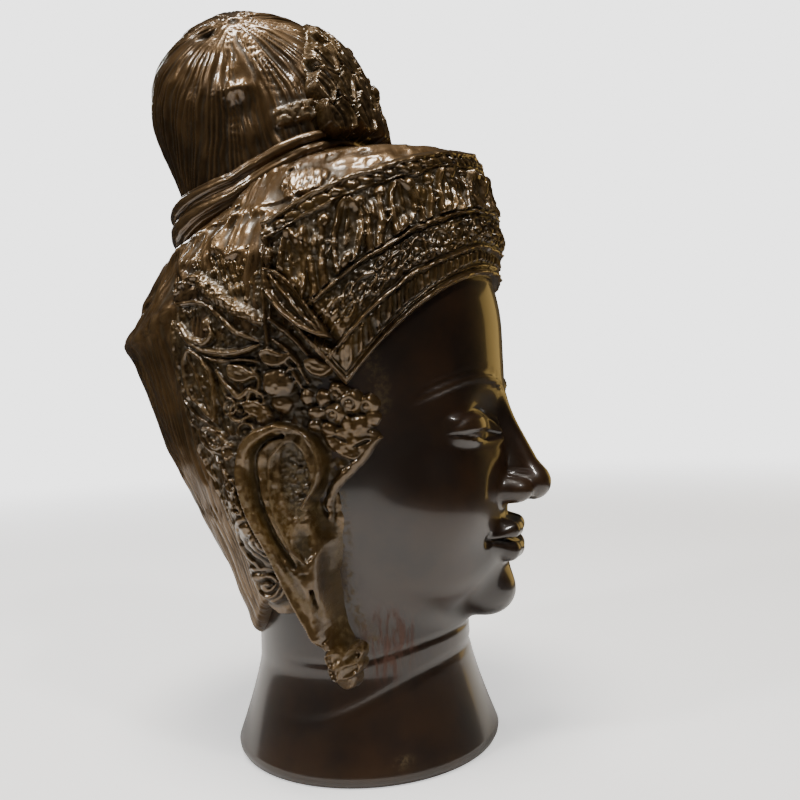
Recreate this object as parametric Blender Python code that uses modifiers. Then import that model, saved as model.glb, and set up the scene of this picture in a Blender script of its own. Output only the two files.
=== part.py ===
# Crowned head of the Buddha, cast in one piece with its neck and round foot.
# The face looks along -Y, +Z is up, and the origin is the centre of the foot's flat underside.
import math

import bmesh
import bpy
import numpy as np

# Driving dimensions, in metres
HEIGHT = 0.320          # underside of the foot to the top of the topknot
FOOT_RADIUS = 0.0565    # the round foot under the neck
FOOT_EDGE = 0.003       # height of the foot's rounded edge
NECK_RADIUS = 0.0458    # the neck where the foot's flare ends
FLARE_HEIGHT = 0.038    # underside to the top of the flare
RELIEF_DEPTH = 0.0028   # how far the diadem's carving stands out
LOCK_DEPTH = 0.0020     # depth of the furrows between locks of hair

# How finely the casting is meshed
VOXEL = 0.0016          # grid on which the forms are fused into one skin, in metres
TRIANGLES = 9600        # what the finished solid keeps

# The free form is written in parts: 320 of them make the height.
PARTS_TALL = 320
PART = HEIGHT / PARTS_TALL

# Canon of the face, in parts: three equal thirds from chin to hairline
CHIN = 54
THIRD = 46.5
NOSE_BASE = CHIN + THIRD
BROW = NOSE_BASE + THIRD
HAIRLINE = BROW + THIRD
MOUTH = NOSE_BASE - THIRD / 3
EYE = BROW - THIRD * 0.30
EYE_SPACING = 25        # centre of the face to the centre of an eye
NECK_TOP = 105          # where the neck ends inside the head

# Outline of the mass of hair, in parts: back, side and front at each height
HAIR_CENTRE_Y = 20
HAIR_Z = [40, 45, 60, 80, 100, 130, 168, 173, 180, 200, 222, 236, 246, 252]
HAIR_BACK = [41, 44.5, 49, 55.5, 66, 83, 100, 100.5, 98, 83.5, 69, 60, 48, 28]
HAIR_SIDE = [34, 42, 50, 59, 64, 68, 71.5, 72, 71.5, 70, 64, 57, 45, 24]
HAIR_FRONT = [-15, -20, -24, -29, -34, -42, -52, -53, -55, -60, -62, -60, -52, -14]
HAIR_LOCKS = 40

# The diadem, in parts and in degrees from the front
DIADEM_CENTRE_Y = 12
DIADEM_END = 87
DIADEM_TIP = 65         # where its lower edge reaches the temple
DIADEM_SEAT = 3.0       # how far its lower edge stands off the skin
ALONG_PER_DEGREE = 1.31 # run along the diadem for a degree
ROSETTE_PITCH = 10.5
LEAF_PITCH = 21
CORD_PITCH = 7

# The topknot, in parts
TOPKNOT_CENTRE = np.array([0, 32.5, 238])
TOPKNOT_TILT = math.radians(14)
TOPKNOT_RADIUS = 47.5
TOPKNOT_WAIST = 0.86    # share of the radius left at the band
TOPKNOT_RISE = 83
TOPKNOT_NARROW = 0.92
TOPKNOT_LOCKS = 30
CREST_TIER = 15

# The ear and the ornament round it, in parts: y runs backwards and z up
EAR_TOP = 137
EAR_FOOT = 37
EAR_BACK_Y = [-7.7, -4.4, 7, 14.8, 22.5, 24.5, 21, 8]
EAR_BACK_Z = [EAR_FOOT, 46, 73, 94, 108, 121, 132, EAR_TOP]
EAR_FRONT_Y = [-14.5, -16.5, -8, -7.3, -2.5, -7.8, -5, 8]
EAR_FRONT_Z = [EAR_FOOT, 47, 73, 94, 106, 121, 131, EAR_TOP]
EAR_FOLD = [(13.9, 129.7), (12.5, 117.3), (10.2, 104.8), (6.3, 92.2), (-0.3, 88.9), (-5, 95)]
EAR_BOWL = (3, 112)
LOBE_SLIT = [(-1.4, 77), (-5.6, 58)]
ROLL_Y = [12, 18, 27, 39, 52, 64, 76, 103]
ROLL_Z = [170, 177.6, 184, 188.7, 182.5, 176, 171.5, 174]
CORDS = [[(46, 171.6), (32, 164), (17, 162)], [(41.7, 183), (30, 177), (17, 166)], [(10, 200), (10, 152)],
         [(-29, 127.5), (-18, 119), (-9, 111), (-8, 102)]]
SPRAY = [((25, 155), (48, 156), 5), ((28, 145), (45, 142), 5), ((25, 133), (45.5, 131), 5.5),
         ((25, 122), (42.5, 118), 5), ((23, 110), (34, 105), 4), ((9, 182), (-15, 164), 7)]
BOSSES = [(6.1, 151, 6, 4.5), (-18, 136, 5.5, 3), (-10, 140.4, 4.5, 3.4), (-16.5, 145, 4.5, 3.6),
          (-22, 144, 3.5, 2.6), (-6, 144, 3.5, 3), (-11.2, 48, 7, 3), (32, 174, 5.5, 2)]
SLAB = 0.012            # how deep the side ornament and the diadem are let in, in metres

BRONZE = (0.085, 0.045, 0.022, 1)


def clear_scene():
    for old in list(bpy.data.objects):
        bpy.data.objects.remove(old)


# Arithmetic of soft forms: distances are in parts, and negative inside
def soft_join(a, b, blend):
    share = np.clip(0.5 + 0.5 * (b - a) / blend, 0, 1)
    return b * (1 - share) + a * share - blend * share * (1 - share)


def soft_cut(a, b, blend):
    return -soft_join(-a, b, blend)


def ellipsoid(p, centre, radii):
    q = (p - np.array(centre, float)) / np.array(radii, float)
    near = np.linalg.norm(q, axis=-1)
    far = np.linalg.norm(q / np.array(radii, float), axis=-1)
    return near * (near - 1) / np.maximum(far, 1e-9)


def limb(p, start, end, start_radius, end_radius):
    start, end = np.array(start, float), np.array(end, float)
    along = end - start
    share = np.clip(((p - start) @ along) / (along @ along), 0, 1)
    gap = np.linalg.norm(p - start - share[..., None] * along, axis=-1)
    return gap - (start_radius + (end_radius - start_radius) * share)


def step(value, low, high):
    share = np.clip((value - low) / (high - low), 0, 1)
    return share * share * (3 - 2 * share)


def bump(distance, half_width):
    """1 on the line and 0 at half_width from it, rounded."""
    return 0.5 + 0.5 * np.cos(np.pi * np.clip(np.abs(distance) / half_width, 0, 1))


def dome(distance, radius):
    """A round boss, 1 at its middle."""
    return np.sqrt(np.clip(1 - (distance / radius) ** 2, 0, 1))


def line_gap(u, v, points):
    """Distance from each (u, v) to a chain of points."""
    best = np.full(np.shape(u), 1e9)
    for (u0, v0), (u1, v1) in zip(points[:-1], points[1:]):
        du, dv = u1 - u0, v1 - v0
        share = np.clip(((u - u0) * du + (v - v0) * dv) / (du * du + dv * dv), 0, 1)
        best = np.minimum(best, np.hypot(u - u0 - share * du, v - v0 - share * dv))
    return best


def cast_rays(gap, origin, direction, reach):
    """Walks each ray inwards from reach until it meets the form."""
    travel = np.full(origin.shape[:-1], float(reach))
    for _ in range(70):
        travel = np.maximum(travel - 0.85 * gap(origin + travel[..., None] * direction), 0)
    return origin + travel[..., None] * direction


# Meshes: a grid of Blender's own, laid over the form
def grid_object(name, columns, rows, place, closed=True):
    """place(u, v) gives points in parts, for u and v from 0 to 1. Open edges of a closed shell are filled."""
    mesh = bmesh.new()
    bmesh.ops.create_grid(mesh, x_segments=columns, y_segments=rows, size=0.5)
    mesh.verts.ensure_lookup_table()
    flat = np.array([vertex.co for vertex in mesh.verts]) + 0.5
    points = place(flat[:, 0], flat[:, 1]) * PART
    for vertex, point in zip(mesh.verts, points):
        vertex.co = point
    bmesh.ops.remove_doubles(mesh, verts=mesh.verts, dist=1e-5)
    if closed:
        rims = [edge for edge in mesh.edges if edge.is_boundary]
        bmesh.ops.holes_fill(mesh, edges=rims, sides=0)
        bmesh.ops.recalc_face_normals(mesh, faces=mesh.faces)
    data = bpy.data.meshes.new(name)
    mesh.to_mesh(data)
    mesh.free()
    shape = bpy.data.objects.new(name, data)
    bpy.context.scene.collection.objects.link(shape)
    return shape


def settle(shape):
    """Writes the object's modifiers into its mesh."""
    graph = bpy.context.evaluated_depsgraph_get()
    data = bpy.data.meshes.new_from_object(shape.evaluated_get(graph))
    shape.modifiers.clear()
    shape.data = data
    return shape


def thicken(shape, offset):
    solid = shape.modifiers.new("let in", "SOLIDIFY")
    solid.thickness = SLAB
    solid.offset = offset
    return settle(shape)


# The skin of face, skull, neck and foot
def neck_radius(z):
    foot, edge = FOOT_RADIUS / PART, FOOT_EDGE / PART
    neck, flare = NECK_RADIUS / PART, FLARE_HEIGHT / PART
    rise = np.clip((z - edge) / (flare - edge), 0, 1)
    foot_roll = 1.2 * (1 - np.clip(z / 3, 0, 1)) ** 2
    return neck + (foot - neck) * (1 - rise) ** 1.25 - foot_roll - 0.02 * np.clip(z - flare, 0, 60)


def nose_gap(q):
    bridge = limb(q, (0, -61, EYE + 8), (0, -75, NOSE_BASE + 9), 5, 6.5)
    tip = ellipsoid(q, (0, -76, NOSE_BASE + 7), (8, 7.5, 7))
    wing = ellipsoid(q, (8.5, -69, NOSE_BASE + 5), (6.2, 8, 5.5))
    nostril = ellipsoid(q, (4.6, -72, NOSE_BASE - 1), (2.4, 4.4, 3))
    return soft_cut(soft_join(soft_join(bridge, tip, 4), wing, 3), nostril, 1.5)


def lips_gap(q):
    upper = soft_join(limb(q, (0, -67.5, MOUTH + 3.8), (9, -66.5, MOUTH + 4), 4.2, 3.4),
                      limb(q, (9, -66.5, MOUTH + 4), (21, -57, MOUTH + 1.2), 3.4, 1.5), 3)
    lower = soft_join(limb(q, (0, -66.5, MOUTH - 4.2), (8, -65.5, MOUTH - 4), 4.6, 4),
                      limb(q, (8, -65.5, MOUTH - 4), (18, -59, MOUTH - 0.6), 4, 1.8), 3)
    return soft_join(upper, lower, 1.5)


def skin_gap(p):
    """Distance to the skin. The head is alike on both sides, so x is folded."""
    x, y, z = np.abs(p[..., 0]), p[..., 1], p[..., 2]
    q = np.stack([x, y, z], -1)
    face = soft_join(ellipsoid(q, (0, 8, 171), (67.5, 73.5, 74)), ellipsoid(q, (0, -7, 123), (58, 60, 72)), 12)
    face = soft_join(face, ellipsoid(q, (0, -23, 81), (43, 41, 28)), 14)
    face = soft_join(face, ellipsoid(q, (25, -35, 104), (24, 25, 25)), 9)
    face = soft_join(face, ellipsoid(q, (0, -54, CHIN + 9), (14, 13, 11)), 9)
    face = soft_cut(face, ellipsoid(q, (EYE_SPACING, -72, EYE + 2), (17, 13, 10)), 9)
    face = soft_join(face, ellipsoid(q, (EYE_SPACING, -46.5, EYE - 1), (16, 14, 11)), 3)
    face = soft_join(face, nose_gap(q), 6)
    face = soft_join(face, lips_gap(q), 4)
    neck = np.maximum(np.hypot(x, y) - neck_radius(z), z - NECK_TOP)
    return soft_join(face, neck, 7) - face_lines(x, y, z)


def face_lines(x, y, z):
    """Height of the thin modelled lines: brows, lids, mouth and the rings of the neck."""
    brow_line = BROW - 5 + 10 * np.sin(np.pi * np.clip(x / 52, 0, 1)) ** 0.8
    brow = 1.3 * bump(z - brow_line, 2.6) * step(x, 3, 8) * (1 - step(x, 44, 52))
    lid = EYE - 3.2 + 1.3 * np.cos((x - EYE_SPACING) / 15 * np.pi / 2)
    span = bump(x - EYE_SPACING, 20)
    upper_lid = 0.8 * bump(z - lid - 1.2, 1.5) * span
    slit = -1.5 * bump(z - lid + 0.8, 1.7) * step(span, 0.05, 0.4)
    mouth_line = MOUTH + 1.6 * (x / 22) ** 2 - 0.8 * np.exp(-(x / 5) ** 2)
    mouth = -1.6 * bump(z - mouth_line, 1.5) * (1 - step(x, 19, 23))
    rings = -0.9 * bump(z - 34 + 0.05 * y, 2.4) - 0.5 * bump(z - 22 + 0.10 * y, 2.5)
    return step(-y, 20, 40) * (brow + upper_lid + slit + mouth) + rings * step(-y, -20, 30) * (z < 45)


def skin():
    """Rays leave a spine that follows the neck and skull, and dip under the jaw and nose."""
    def place(u, v):
        turn = (u - 0.5) * 2 * math.pi
        height = np.interp(v, [0, 0.14, 0.26, 0.62, 0.80, 1], [-8, 42, 80, 140, 180, 190])
        tilt = np.radians(np.interp(v, [0, 0.14, 0.26, 0.62, 0.80, 1], [0, -2, -22, 0, 20, 90]))
        origin = np.stack([0 * u, 4 + 0 * u, height], -1)
        level = np.cos(tilt)
        direction = np.stack([np.sin(turn) * level, -np.cos(turn) * level, np.sin(tilt)], -1)
        return cast_rays(skin_gap, origin, direction, 150)
    return grid_object("skin", 170, 170, place)


# The mass of hair under the diadem and the topknot
def hair_side(z):
    return np.interp(z, HAIR_Z, HAIR_SIDE)


def hair_reach(z, forward):
    front = HAIR_CENTRE_Y - np.interp(z, HAIR_Z, HAIR_FRONT)
    back = np.interp(z, HAIR_Z, HAIR_BACK) - HAIR_CENTRE_Y
    return np.where(forward, front, back)


def hair_roll(y, z):
    """A lumpy roll that runs from the back corner of the hair over the side to the diadem."""
    path = np.interp(y, ROLL_Y, ROLL_Z)
    lumps = 1 + 0.3 * np.sin(y / 1.9) * np.cos(z / 2.3)
    return 3 * bump(z - path, 6.5) * lumps * step(y, 8, 20)


def hair():
    """Locks run down from the band. The lower edge climbs from the nape to behind the ear."""
    def place(u, v):
        turn = (u - 0.5) * 2 * math.pi
        low = np.interp(np.cos(turn), [-1, -0.28, 0.1, 0.3, 1], [44, 49, 70, 80, 95])
        z = low + (HAIR_Z[-1] - low) * v
        x = hair_side(z) * np.sin(turn)
        y = -hair_reach(z, np.cos(turn) > 0) * np.cos(turn)
        furrow = np.abs(np.sin(HAIR_LOCKS * turn / 2 + 0.5 * np.sin(z / 17)))
        proud = hair_roll(HAIR_CENTRE_Y + y, z) - LOCK_DEPTH / PART * (1 - furrow) ** 1.5
        grow = 1 + proud / np.maximum(np.hypot(x, y), 8)
        return np.stack([x * grow, HAIR_CENTRE_Y + y * grow, z], -1)
    return grid_object("hair", 230, 80, place)


# The topknot with its crest and its band
def on_topknot(turn, radius, rise):
    """Point at an angle from the front, a radius and a height above the band, on the tilted topknot."""
    up = np.array([0, math.sin(TOPKNOT_TILT), math.cos(TOPKNOT_TILT)])
    front = np.array([0, -math.cos(TOPKNOT_TILT), math.sin(TOPKNOT_TILT)])
    aside = np.array([TOPKNOT_NARROW, 0, 0])
    return (TOPKNOT_CENTRE + np.outer(radius * np.sin(turn), aside)
            + np.outer(radius * np.cos(turn), front) + np.outer(rise, up))


def topknot_radius(rise):
    widest = 42
    swell = TOPKNOT_WAIST + (1 - TOPKNOT_WAIST) * np.sin(np.clip(rise / widest, 0, 1) * math.pi / 2)
    climb = np.clip((rise - widest) / (TOPKNOT_RISE - widest), 0, 1)
    return TOPKNOT_RADIUS * swell * np.sqrt(1 - climb ** 2)


def crest(turn, rise):
    """Leaf ornament on the topknot's front: tiers of curled lobes on either side of a middle stem."""
    side = np.abs(turn) * TOPKNOT_RADIUS
    field = step(46 - rise * 0.42 - side, 0, 8) * step(rise, 8, 11) * (1 - step(rise, 56, 64))
    wave = np.mod(rise + 0.5 * side, CREST_TIER) / CREST_TIER
    lobe = wave ** 0.7 * (1 - step(wave, 0.8, 1))
    split = 0.6 + 0.4 * np.cos(2 * math.pi * side / 17)
    thick = 9.5 - 0.12 * rise
    return field * (thick + (7 - 0.05 * rise) * lobe * split + bump(side, 6))


def topknot():
    def place(u, v):
        turn = (u - 0.5) * 2 * math.pi
        rise = -8 + (TOPKNOT_RISE + 8) * np.sin(v * math.pi / 2)
        radius = topknot_radius(rise)
        furrow = np.abs(np.sin(TOPKNOT_LOCKS * turn / 2 + 0.8 * np.sin(rise / 25)))
        leaves = crest(turn, rise)
        combed = LOCK_DEPTH / PART * (1 - furrow) ** 1.5 * step(radius, 3, 20)
        return on_topknot(turn, radius + np.where(leaves > 0.8, leaves, -combed), rise)
    return grid_object("topknot", 190, 90, place)


def band_roll(name, rise_front, rise_back, half_front, half_back):
    """One roll of the cloth band tied round the topknot, wider at the back."""
    def place(u, v):
        turn = (u - 0.5) * 2 * math.pi
        across = v * 2 * math.pi
        back = 0.5 - 0.5 * np.cos(turn)
        half = half_front + (half_back - half_front) * back
        rise = rise_front + (rise_back - rise_front) * back
        radius = topknot_radius(rise) + 1.5 + 3.6 * np.cos(across)
        return on_topknot(turn, radius, rise + half * np.sin(across))
    return grid_object(name, 90, 14, place, closed=False)


# The diadem, read by its angle from the front and its height
def diadem_low(angle):
    drop = 43
    turned = np.abs(angle)
    front = HAIRLINE - drop * np.clip(turned / DIADEM_TIP, 0, 1) ** 2.5
    back_share = np.clip((turned - DIADEM_TIP) / (DIADEM_END - DIADEM_TIP), 0, 1)
    return np.where(turned < DIADEM_TIP, front, HAIRLINE - drop + 33 * back_share)


def diadem_lines(angle):
    """Heights of the two ridges, the lower line of the top border and the top edge."""
    share = np.abs(angle) / DIADEM_END
    return (HAIRLINE + 10 - 75 * share ** 2.6, HAIRLINE + 25 - 54 * share ** 2.15,
            HAIRLINE + 44.5 - 35 * share ** 1.75, HAIRLINE + 51.5 - 34.5 * share ** 1.7)


def petal(u, v, height, half_width):
    """An upright pointed leaf with a raised edge and a midrib. v runs from 0 at its foot."""
    rise = np.clip(v / height, 0, 1)
    half = half_width * np.sin(np.pi * rise ** 0.75) ** 0.8
    inside = step(half - np.abs(u), -0.6, 0.6) * (v > 0) * (v < height)
    edge = bump(np.abs(u) - half + 1.2, 1.6)
    rib = bump(u, 1.3) * (rise < 0.85)
    return inside * (0.4 + 0.6 * np.maximum(edge, rib * 0.8))


def diadem_relief(angle, z):
    """Carving from 0 to 1: a rim, a row of rosettes, tall and slim leaves, and a corded border."""
    ridge_1, ridge_2, border, top = diadem_lines(angle)
    along = angle * ALONG_PER_DEGREE
    u = np.mod(along, ROSETTE_PITCH) - ROSETTE_PITCH / 2
    v = z - (ridge_1 + ridge_2) / 2
    rosette = 0.8 * dome(np.hypot(u, v), 4.2) * (z > ridge_1) * (z < ridge_2)
    foot = ridge_2 + 1
    u = np.mod(along + LEAF_PITCH / 2, LEAF_PITCH) - LEAF_PITCH / 2
    tall = petal(u, z - foot, np.maximum(border - foot - 1, 4), 6)
    u = np.mod(along, LEAF_PITCH) - LEAF_PITCH / 2
    slim = 0.9 * petal(u, z - foot - 2, np.maximum(border - foot - 5, 4), 3.4)
    leaves = np.maximum(tall, slim) * (z > ridge_2) * (z < border)
    cord = (0.65 + 0.3 * np.cos(2 * math.pi * along / CORD_PITCH)) * (z > border)
    lines = [bump(z - height, 1.5) for height in (ridge_1, ridge_2, border)]
    rim = bump(z - diadem_low(angle) - 1.7, 2.2)
    end = bump(np.abs(angle) - DIADEM_END + 1.4, 1.6)
    return np.maximum.reduce([rosette, leaves, cord, rim, end] + lines)


def diadem():
    def place(u, v):
        angle = (u - 0.5) * 2 * DIADEM_END
        low, top = diadem_low(angle), diadem_lines(angle)[3]
        z = low + (top - low) * v
        turn = np.radians(angle)
        outward = np.stack([np.sin(turn), -np.cos(turn), 0 * turn], -1)
        origin = np.stack([0 * z, DIADEM_CENTRE_Y + 0 * z, z], -1)
        brow = np.hypot(*(cast_rays(skin_gap, origin, outward, 120) - origin)[..., :2].T) + DIADEM_SEAT
        lean = z - HAIRLINE
        crown = 1 / np.hypot(np.sin(turn) / (74.0 - 0.10 * lean), np.cos(turn) / (83 - 0.27 * lean))
        wall = brow + (crown - brow) * step(v, 0, 0.35)
        return origin + (wall + RELIEF_DEPTH / PART * diadem_relief(angle, z))[..., None] * outward
    return thicken(grid_object("diadem", 300, 60, place, closed=False), -1)


# The ear and the carving round it
def spray_leaf(y, z, root, tip, half_width):
    run = np.array(tip, float) - np.array(root, float)
    length = np.hypot(*run)
    run = run / length
    along = (y - root[0]) * run[0] + (z - root[1]) * run[1]
    aside = (z - root[1]) * run[0] - (y - root[0]) * run[1]
    return petal(aside, along, length, half_width)


def ear(y, z):
    """Height of the long ear over the plane that it lies in, and where it covers."""
    back = np.interp(z, EAR_BACK_Z, EAR_BACK_Y)
    front = np.interp(z, EAR_FRONT_Z, EAR_FRONT_Y)
    edge = np.minimum(np.minimum(back - y, y - front), np.minimum(EAR_TOP - z, z - EAR_FOOT))
    inside = step(edge, -0.8, 1.2)
    fold = bump(line_gap(y, z, EAR_FOLD), 3)
    slit = bump(line_gap(y, z, LOBE_SLIT), 1.8)
    hollow = dome(np.hypot((y - EAR_BOWL[0] - 0.1 * (z - EAR_BOWL[1])) / 9, (z - EAR_BOWL[1]) / 20), 1)
    lobe = 1 - step(z, 80, 92)
    rim = np.maximum(bump(edge - 2.8, 3.2), lobe)
    height = 2.2 + 3.8 * rim + 2.4 * fold * (1 - rim) - 2.6 * hollow * (1 - lobe) - 2.5 * slit
    return inside * height, inside


def side_relief(y, z):
    """Height of everything carved on the side of the head, and where the ear covers."""
    height, covered = ear(y, z)
    field = 0 * y
    for line in CORDS:
        field = np.maximum(field, 2.2 * bump(line_gap(y, z, line), 2.6))
    for root, tip, half_width in SPRAY:
        field = np.maximum(field, 3 * spray_leaf(y, z, root, tip, half_width))
    field = np.where(covered > 0.3, height, np.maximum(field, height))
    for boss_y, boss_z, radius, proud in BOSSES:
        boss = dome(np.hypot(y - boss_y, z - boss_z), radius)
        field = np.maximum(field, proud * boss + height * covered)
    return field, covered


def side_base(y, z):
    """How far the plain side of the head stands out, in skin or in hair."""
    reach = hair_reach(z, y < HAIR_CENTRE_Y)
    hair_x = hair_side(z) * np.sqrt(np.clip(1 - ((y - HAIR_CENTRE_Y) / reach) ** 2, 0, 1))
    origin = np.stack([0 * y, y, z], -1)
    skin_x = cast_rays(skin_gap, origin, np.array([1.0, 0, 0]), 120)[..., 0]
    return np.maximum(hair_x * (z > 62), skin_x)


def side(name, sign):
    """A slab over one side: carved where there is ornament, and sunk under the head's own side elsewhere."""
    def place(u, v):
        z = EAR_FOOT - 2 + 167 * v
        behind = np.interp(z, [35, 60, 90, 140], [22, 30, 44, 56])
        y = -34 + (34 + behind) * u
        plane = 62 + 0.28 * (y + 8) - 0.0011 * (120 - z) ** 2
        base = side_base(y, z)
        height, covered = side_relief(y, z)
        base = base + covered * np.maximum(plane - base, 0)
        return np.stack([sign * (base + np.where(height > 0.25, height, -2.5)), y, z], -1)
    return thicken(grid_object(name, 190, 240, place, closed=False), -sign)


def fuse(shells):
    """Joins the overlapping forms on one voxel grid, thins the skin and cuts the foot flat."""
    whole = bmesh.new()
    for shell in shells:
        whole.from_mesh(shell.data)
        bpy.data.objects.remove(shell)
    data = bpy.data.meshes.new("buddha_head")
    whole.to_mesh(data)
    whole.free()
    head = bpy.data.objects.new("buddha_head", data)
    collection = bpy.data.collections.new("buddha head sculpture")
    bpy.context.scene.collection.children.link(collection)
    collection.objects.link(head)
    joined = head.modifiers.new("fuse", "REMESH")
    joined.mode = "VOXEL"
    joined.voxel_size = VOXEL
    settle(head)
    thin = head.modifiers.new("thin", "DECIMATE")
    thin.ratio = TRIANGLES / (2 * len(head.data.polygons))
    settle(head)
    cut_flat(head)
    return head


def cut_flat(shape):
    mesh = bmesh.new()
    mesh.from_mesh(shape.data)
    everything = mesh.verts[:] + mesh.edges[:] + mesh.faces[:]
    cut = bmesh.ops.bisect_plane(mesh, geom=everything, plane_co=(0, 0, 0), plane_no=(0, 0, 1), clear_inner=True)
    rim = [part for part in cut["geom_cut"] if isinstance(part, bmesh.types.BMEdge)]
    bmesh.ops.contextual_create(mesh, geom=rim)
    bmesh.ops.recalc_face_normals(mesh, faces=mesh.faces)
    mesh.to_mesh(shape.data)
    mesh.free()


def bronze():
    material = bpy.data.materials.new("dark_bronze")
    material.use_nodes = True
    shader = material.node_tree.nodes["Principled BSDF"]
    shader.inputs["Base Color"].default_value = BRONZE
    shader.inputs["Metallic"].default_value = 0.7
    shader.inputs["Roughness"].default_value = 0.3
    return material


def main():
    clear_scene()
    shells = [skin(), hair(), topknot(), diadem(), side("right_side", -1), side("left_side", 1),
              band_roll("band_upper", 6.5, 6, 2.6, 4.4), band_roll("band_lower", 1, -3, 2.6, 4.8)]
    head = fuse(shells)
    head.data.materials.append(bronze())
    head.data.shade_smooth()


main()
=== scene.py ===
import math

import bpy
import numpy as np
from mathutils import Matrix, Vector


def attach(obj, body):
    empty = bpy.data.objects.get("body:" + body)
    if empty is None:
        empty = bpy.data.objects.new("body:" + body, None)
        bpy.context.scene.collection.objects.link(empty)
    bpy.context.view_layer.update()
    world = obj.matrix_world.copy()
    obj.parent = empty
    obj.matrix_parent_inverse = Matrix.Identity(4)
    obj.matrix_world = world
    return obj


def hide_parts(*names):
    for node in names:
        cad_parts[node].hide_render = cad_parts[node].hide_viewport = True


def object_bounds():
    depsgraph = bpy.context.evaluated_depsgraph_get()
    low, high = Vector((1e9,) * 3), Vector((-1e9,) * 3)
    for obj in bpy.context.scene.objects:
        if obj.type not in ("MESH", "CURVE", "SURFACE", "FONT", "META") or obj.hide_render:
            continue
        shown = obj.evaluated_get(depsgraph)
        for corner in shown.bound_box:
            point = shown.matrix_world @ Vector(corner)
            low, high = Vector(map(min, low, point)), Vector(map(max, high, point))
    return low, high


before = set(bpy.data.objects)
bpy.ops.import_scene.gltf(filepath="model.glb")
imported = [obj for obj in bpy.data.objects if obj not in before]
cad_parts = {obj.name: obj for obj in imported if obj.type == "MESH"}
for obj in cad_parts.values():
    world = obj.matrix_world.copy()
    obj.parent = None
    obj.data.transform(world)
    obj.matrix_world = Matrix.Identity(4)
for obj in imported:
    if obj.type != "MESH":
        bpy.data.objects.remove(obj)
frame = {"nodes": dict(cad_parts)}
cadLow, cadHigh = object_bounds()
part = (cadHigh.z - cadLow.z) / 320    # every form below is written in 320ths of the height
print("frame loaded:", ", ".join(frame["nodes"]))


# Soft forms: distances in parts, negative inside
def xyz(x, y, z):
    return np.stack(np.broadcast_arrays(x, y, z), -1)


def softJoin(a, b, blend):
    share = np.clip(0.5 + 0.5 * (b - a) / blend, 0, 1)
    return b * (1 - share) + a * share - blend * share * (1 - share)


def softCut(a, b, blend):
    return -softJoin(-a, b, blend)


def ellipsoid(p, centre, radii):
    q = (p - np.array(centre, float)) / np.array(radii, float)
    near = np.linalg.norm(q, axis=-1)
    far = np.linalg.norm(q / np.array(radii, float), axis=-1)
    return near * (near - 1) / np.maximum(far, 1e-9)


def limb(p, start, end, startRadius, endRadius):
    start, end = np.array(start, float), np.array(end, float)
    along = end - start
    share = np.clip(((p - start) @ along) / (along @ along), 0, 1)
    gap = np.linalg.norm(p - start - share[..., None] * along, axis=-1)
    return gap - (startRadius + (endRadius - startRadius) * share)


def ease(value, low, high):
    share = np.clip((value - low) / (high - low), 0, 1)
    return share * share * (3 - 2 * share)


def window(value, low, lowEnd, high, highEnd):    # 1 from lowEnd to high, easing to 0 on both sides
    return ease(value, low, lowEnd) * (1 - ease(value, high, highEnd))


def ridge(distance, halfWidth):    # 1 on the line, 0 at halfWidth, rounded
    return 0.5 + 0.5 * np.cos(np.pi * np.clip(np.abs(distance) / halfWidth, 0, 1))


def dome(distance, radius):
    return np.sqrt(np.clip(1 - (distance / radius) ** 2, 0, 1))


def boss(u, v, centre, wide, tall=None, lean=0):    # a round or oval dome about a point
    away = v - centre[1]
    return dome(np.hypot((u - centre[0] - lean * away) / wide, away / (tall or wide)), 1)


def furrows(count, power=0.8):    # rounded ridges with a sharp furrow at each whole number
    return np.abs(np.sin(math.pi * count)) ** power


def ring(distance, radius, halfWidth):
    return ridge(distance - radius, halfWidth)


def within(along, pitch):    # place in a repeat, from minus half the pitch to half of it
    return np.mod(along, pitch) - pitch / 2


scatterSteps, scatterScale = np.array([127.1, 311.7, 74.7]), 43758.5453


def scatter(value):    # a number from 0 to 1 that jumps about with its input, the same on each run
    wave = np.sin(value) * scatterScale
    return wave - np.floor(wave)


def lumps(p, size, seed):    # smooth noise from -1 to 1 in space
    cell = p / size + np.array([seed * 3.7, seed * 7.1, seed * 1.3])
    low = np.floor(cell)
    share = ease(cell - low, 0, 1)
    total = 0
    for corner in np.ndindex(2, 2, 2):
        weight = np.prod(np.where(corner, share, 1 - share), axis=-1)
        total = total + weight * (2 * scatter((low + corner) @ scatterSteps + seed * 19.19) - 1)
    return total


def layers(p, *terms):    # noises added up, each with its amount, size and seed
    return sum(amount * lumps(p, size, seed) for amount, size, seed in terms)


def flatLayers(u, v, *terms):
    return layers(xyz(u, v, 0), *terms)


def warp(u, v, *terms):    # wax never keeps a line quite straight
    for amount, size, seed in terms:
        u, v = u + flatLayers(u, v, (amount, size, seed)), v + flatLayers(u, v, (amount, size, seed + 1))
    return u, v


def pebbles(u, v, size, seed):    # a field of small round grains, 0 to 1
    u, v = u / size, v / size
    best = np.full(np.shape(u), 9.0)
    for stepU, stepV in np.ndindex(3, 3):
        cellU, cellV = np.floor(u) + stepU - 1, np.floor(v) + stepV - 1
        shift = scatter(cellU * scatterSteps[0] + cellV * scatterSteps[1] + seed * 7.3)
        gapU = u - cellU - 0.2 - 0.6 * shift
        gapV = v - cellV - 0.2 - 0.6 * np.mod(shift * 57.3, 1)
        best = np.minimum(best, np.hypot(gapU, gapV))
    return dome(best, 0.62)


rayWalk = {"steps": 90, "stride": 0.85, "near": 0.004}


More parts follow.
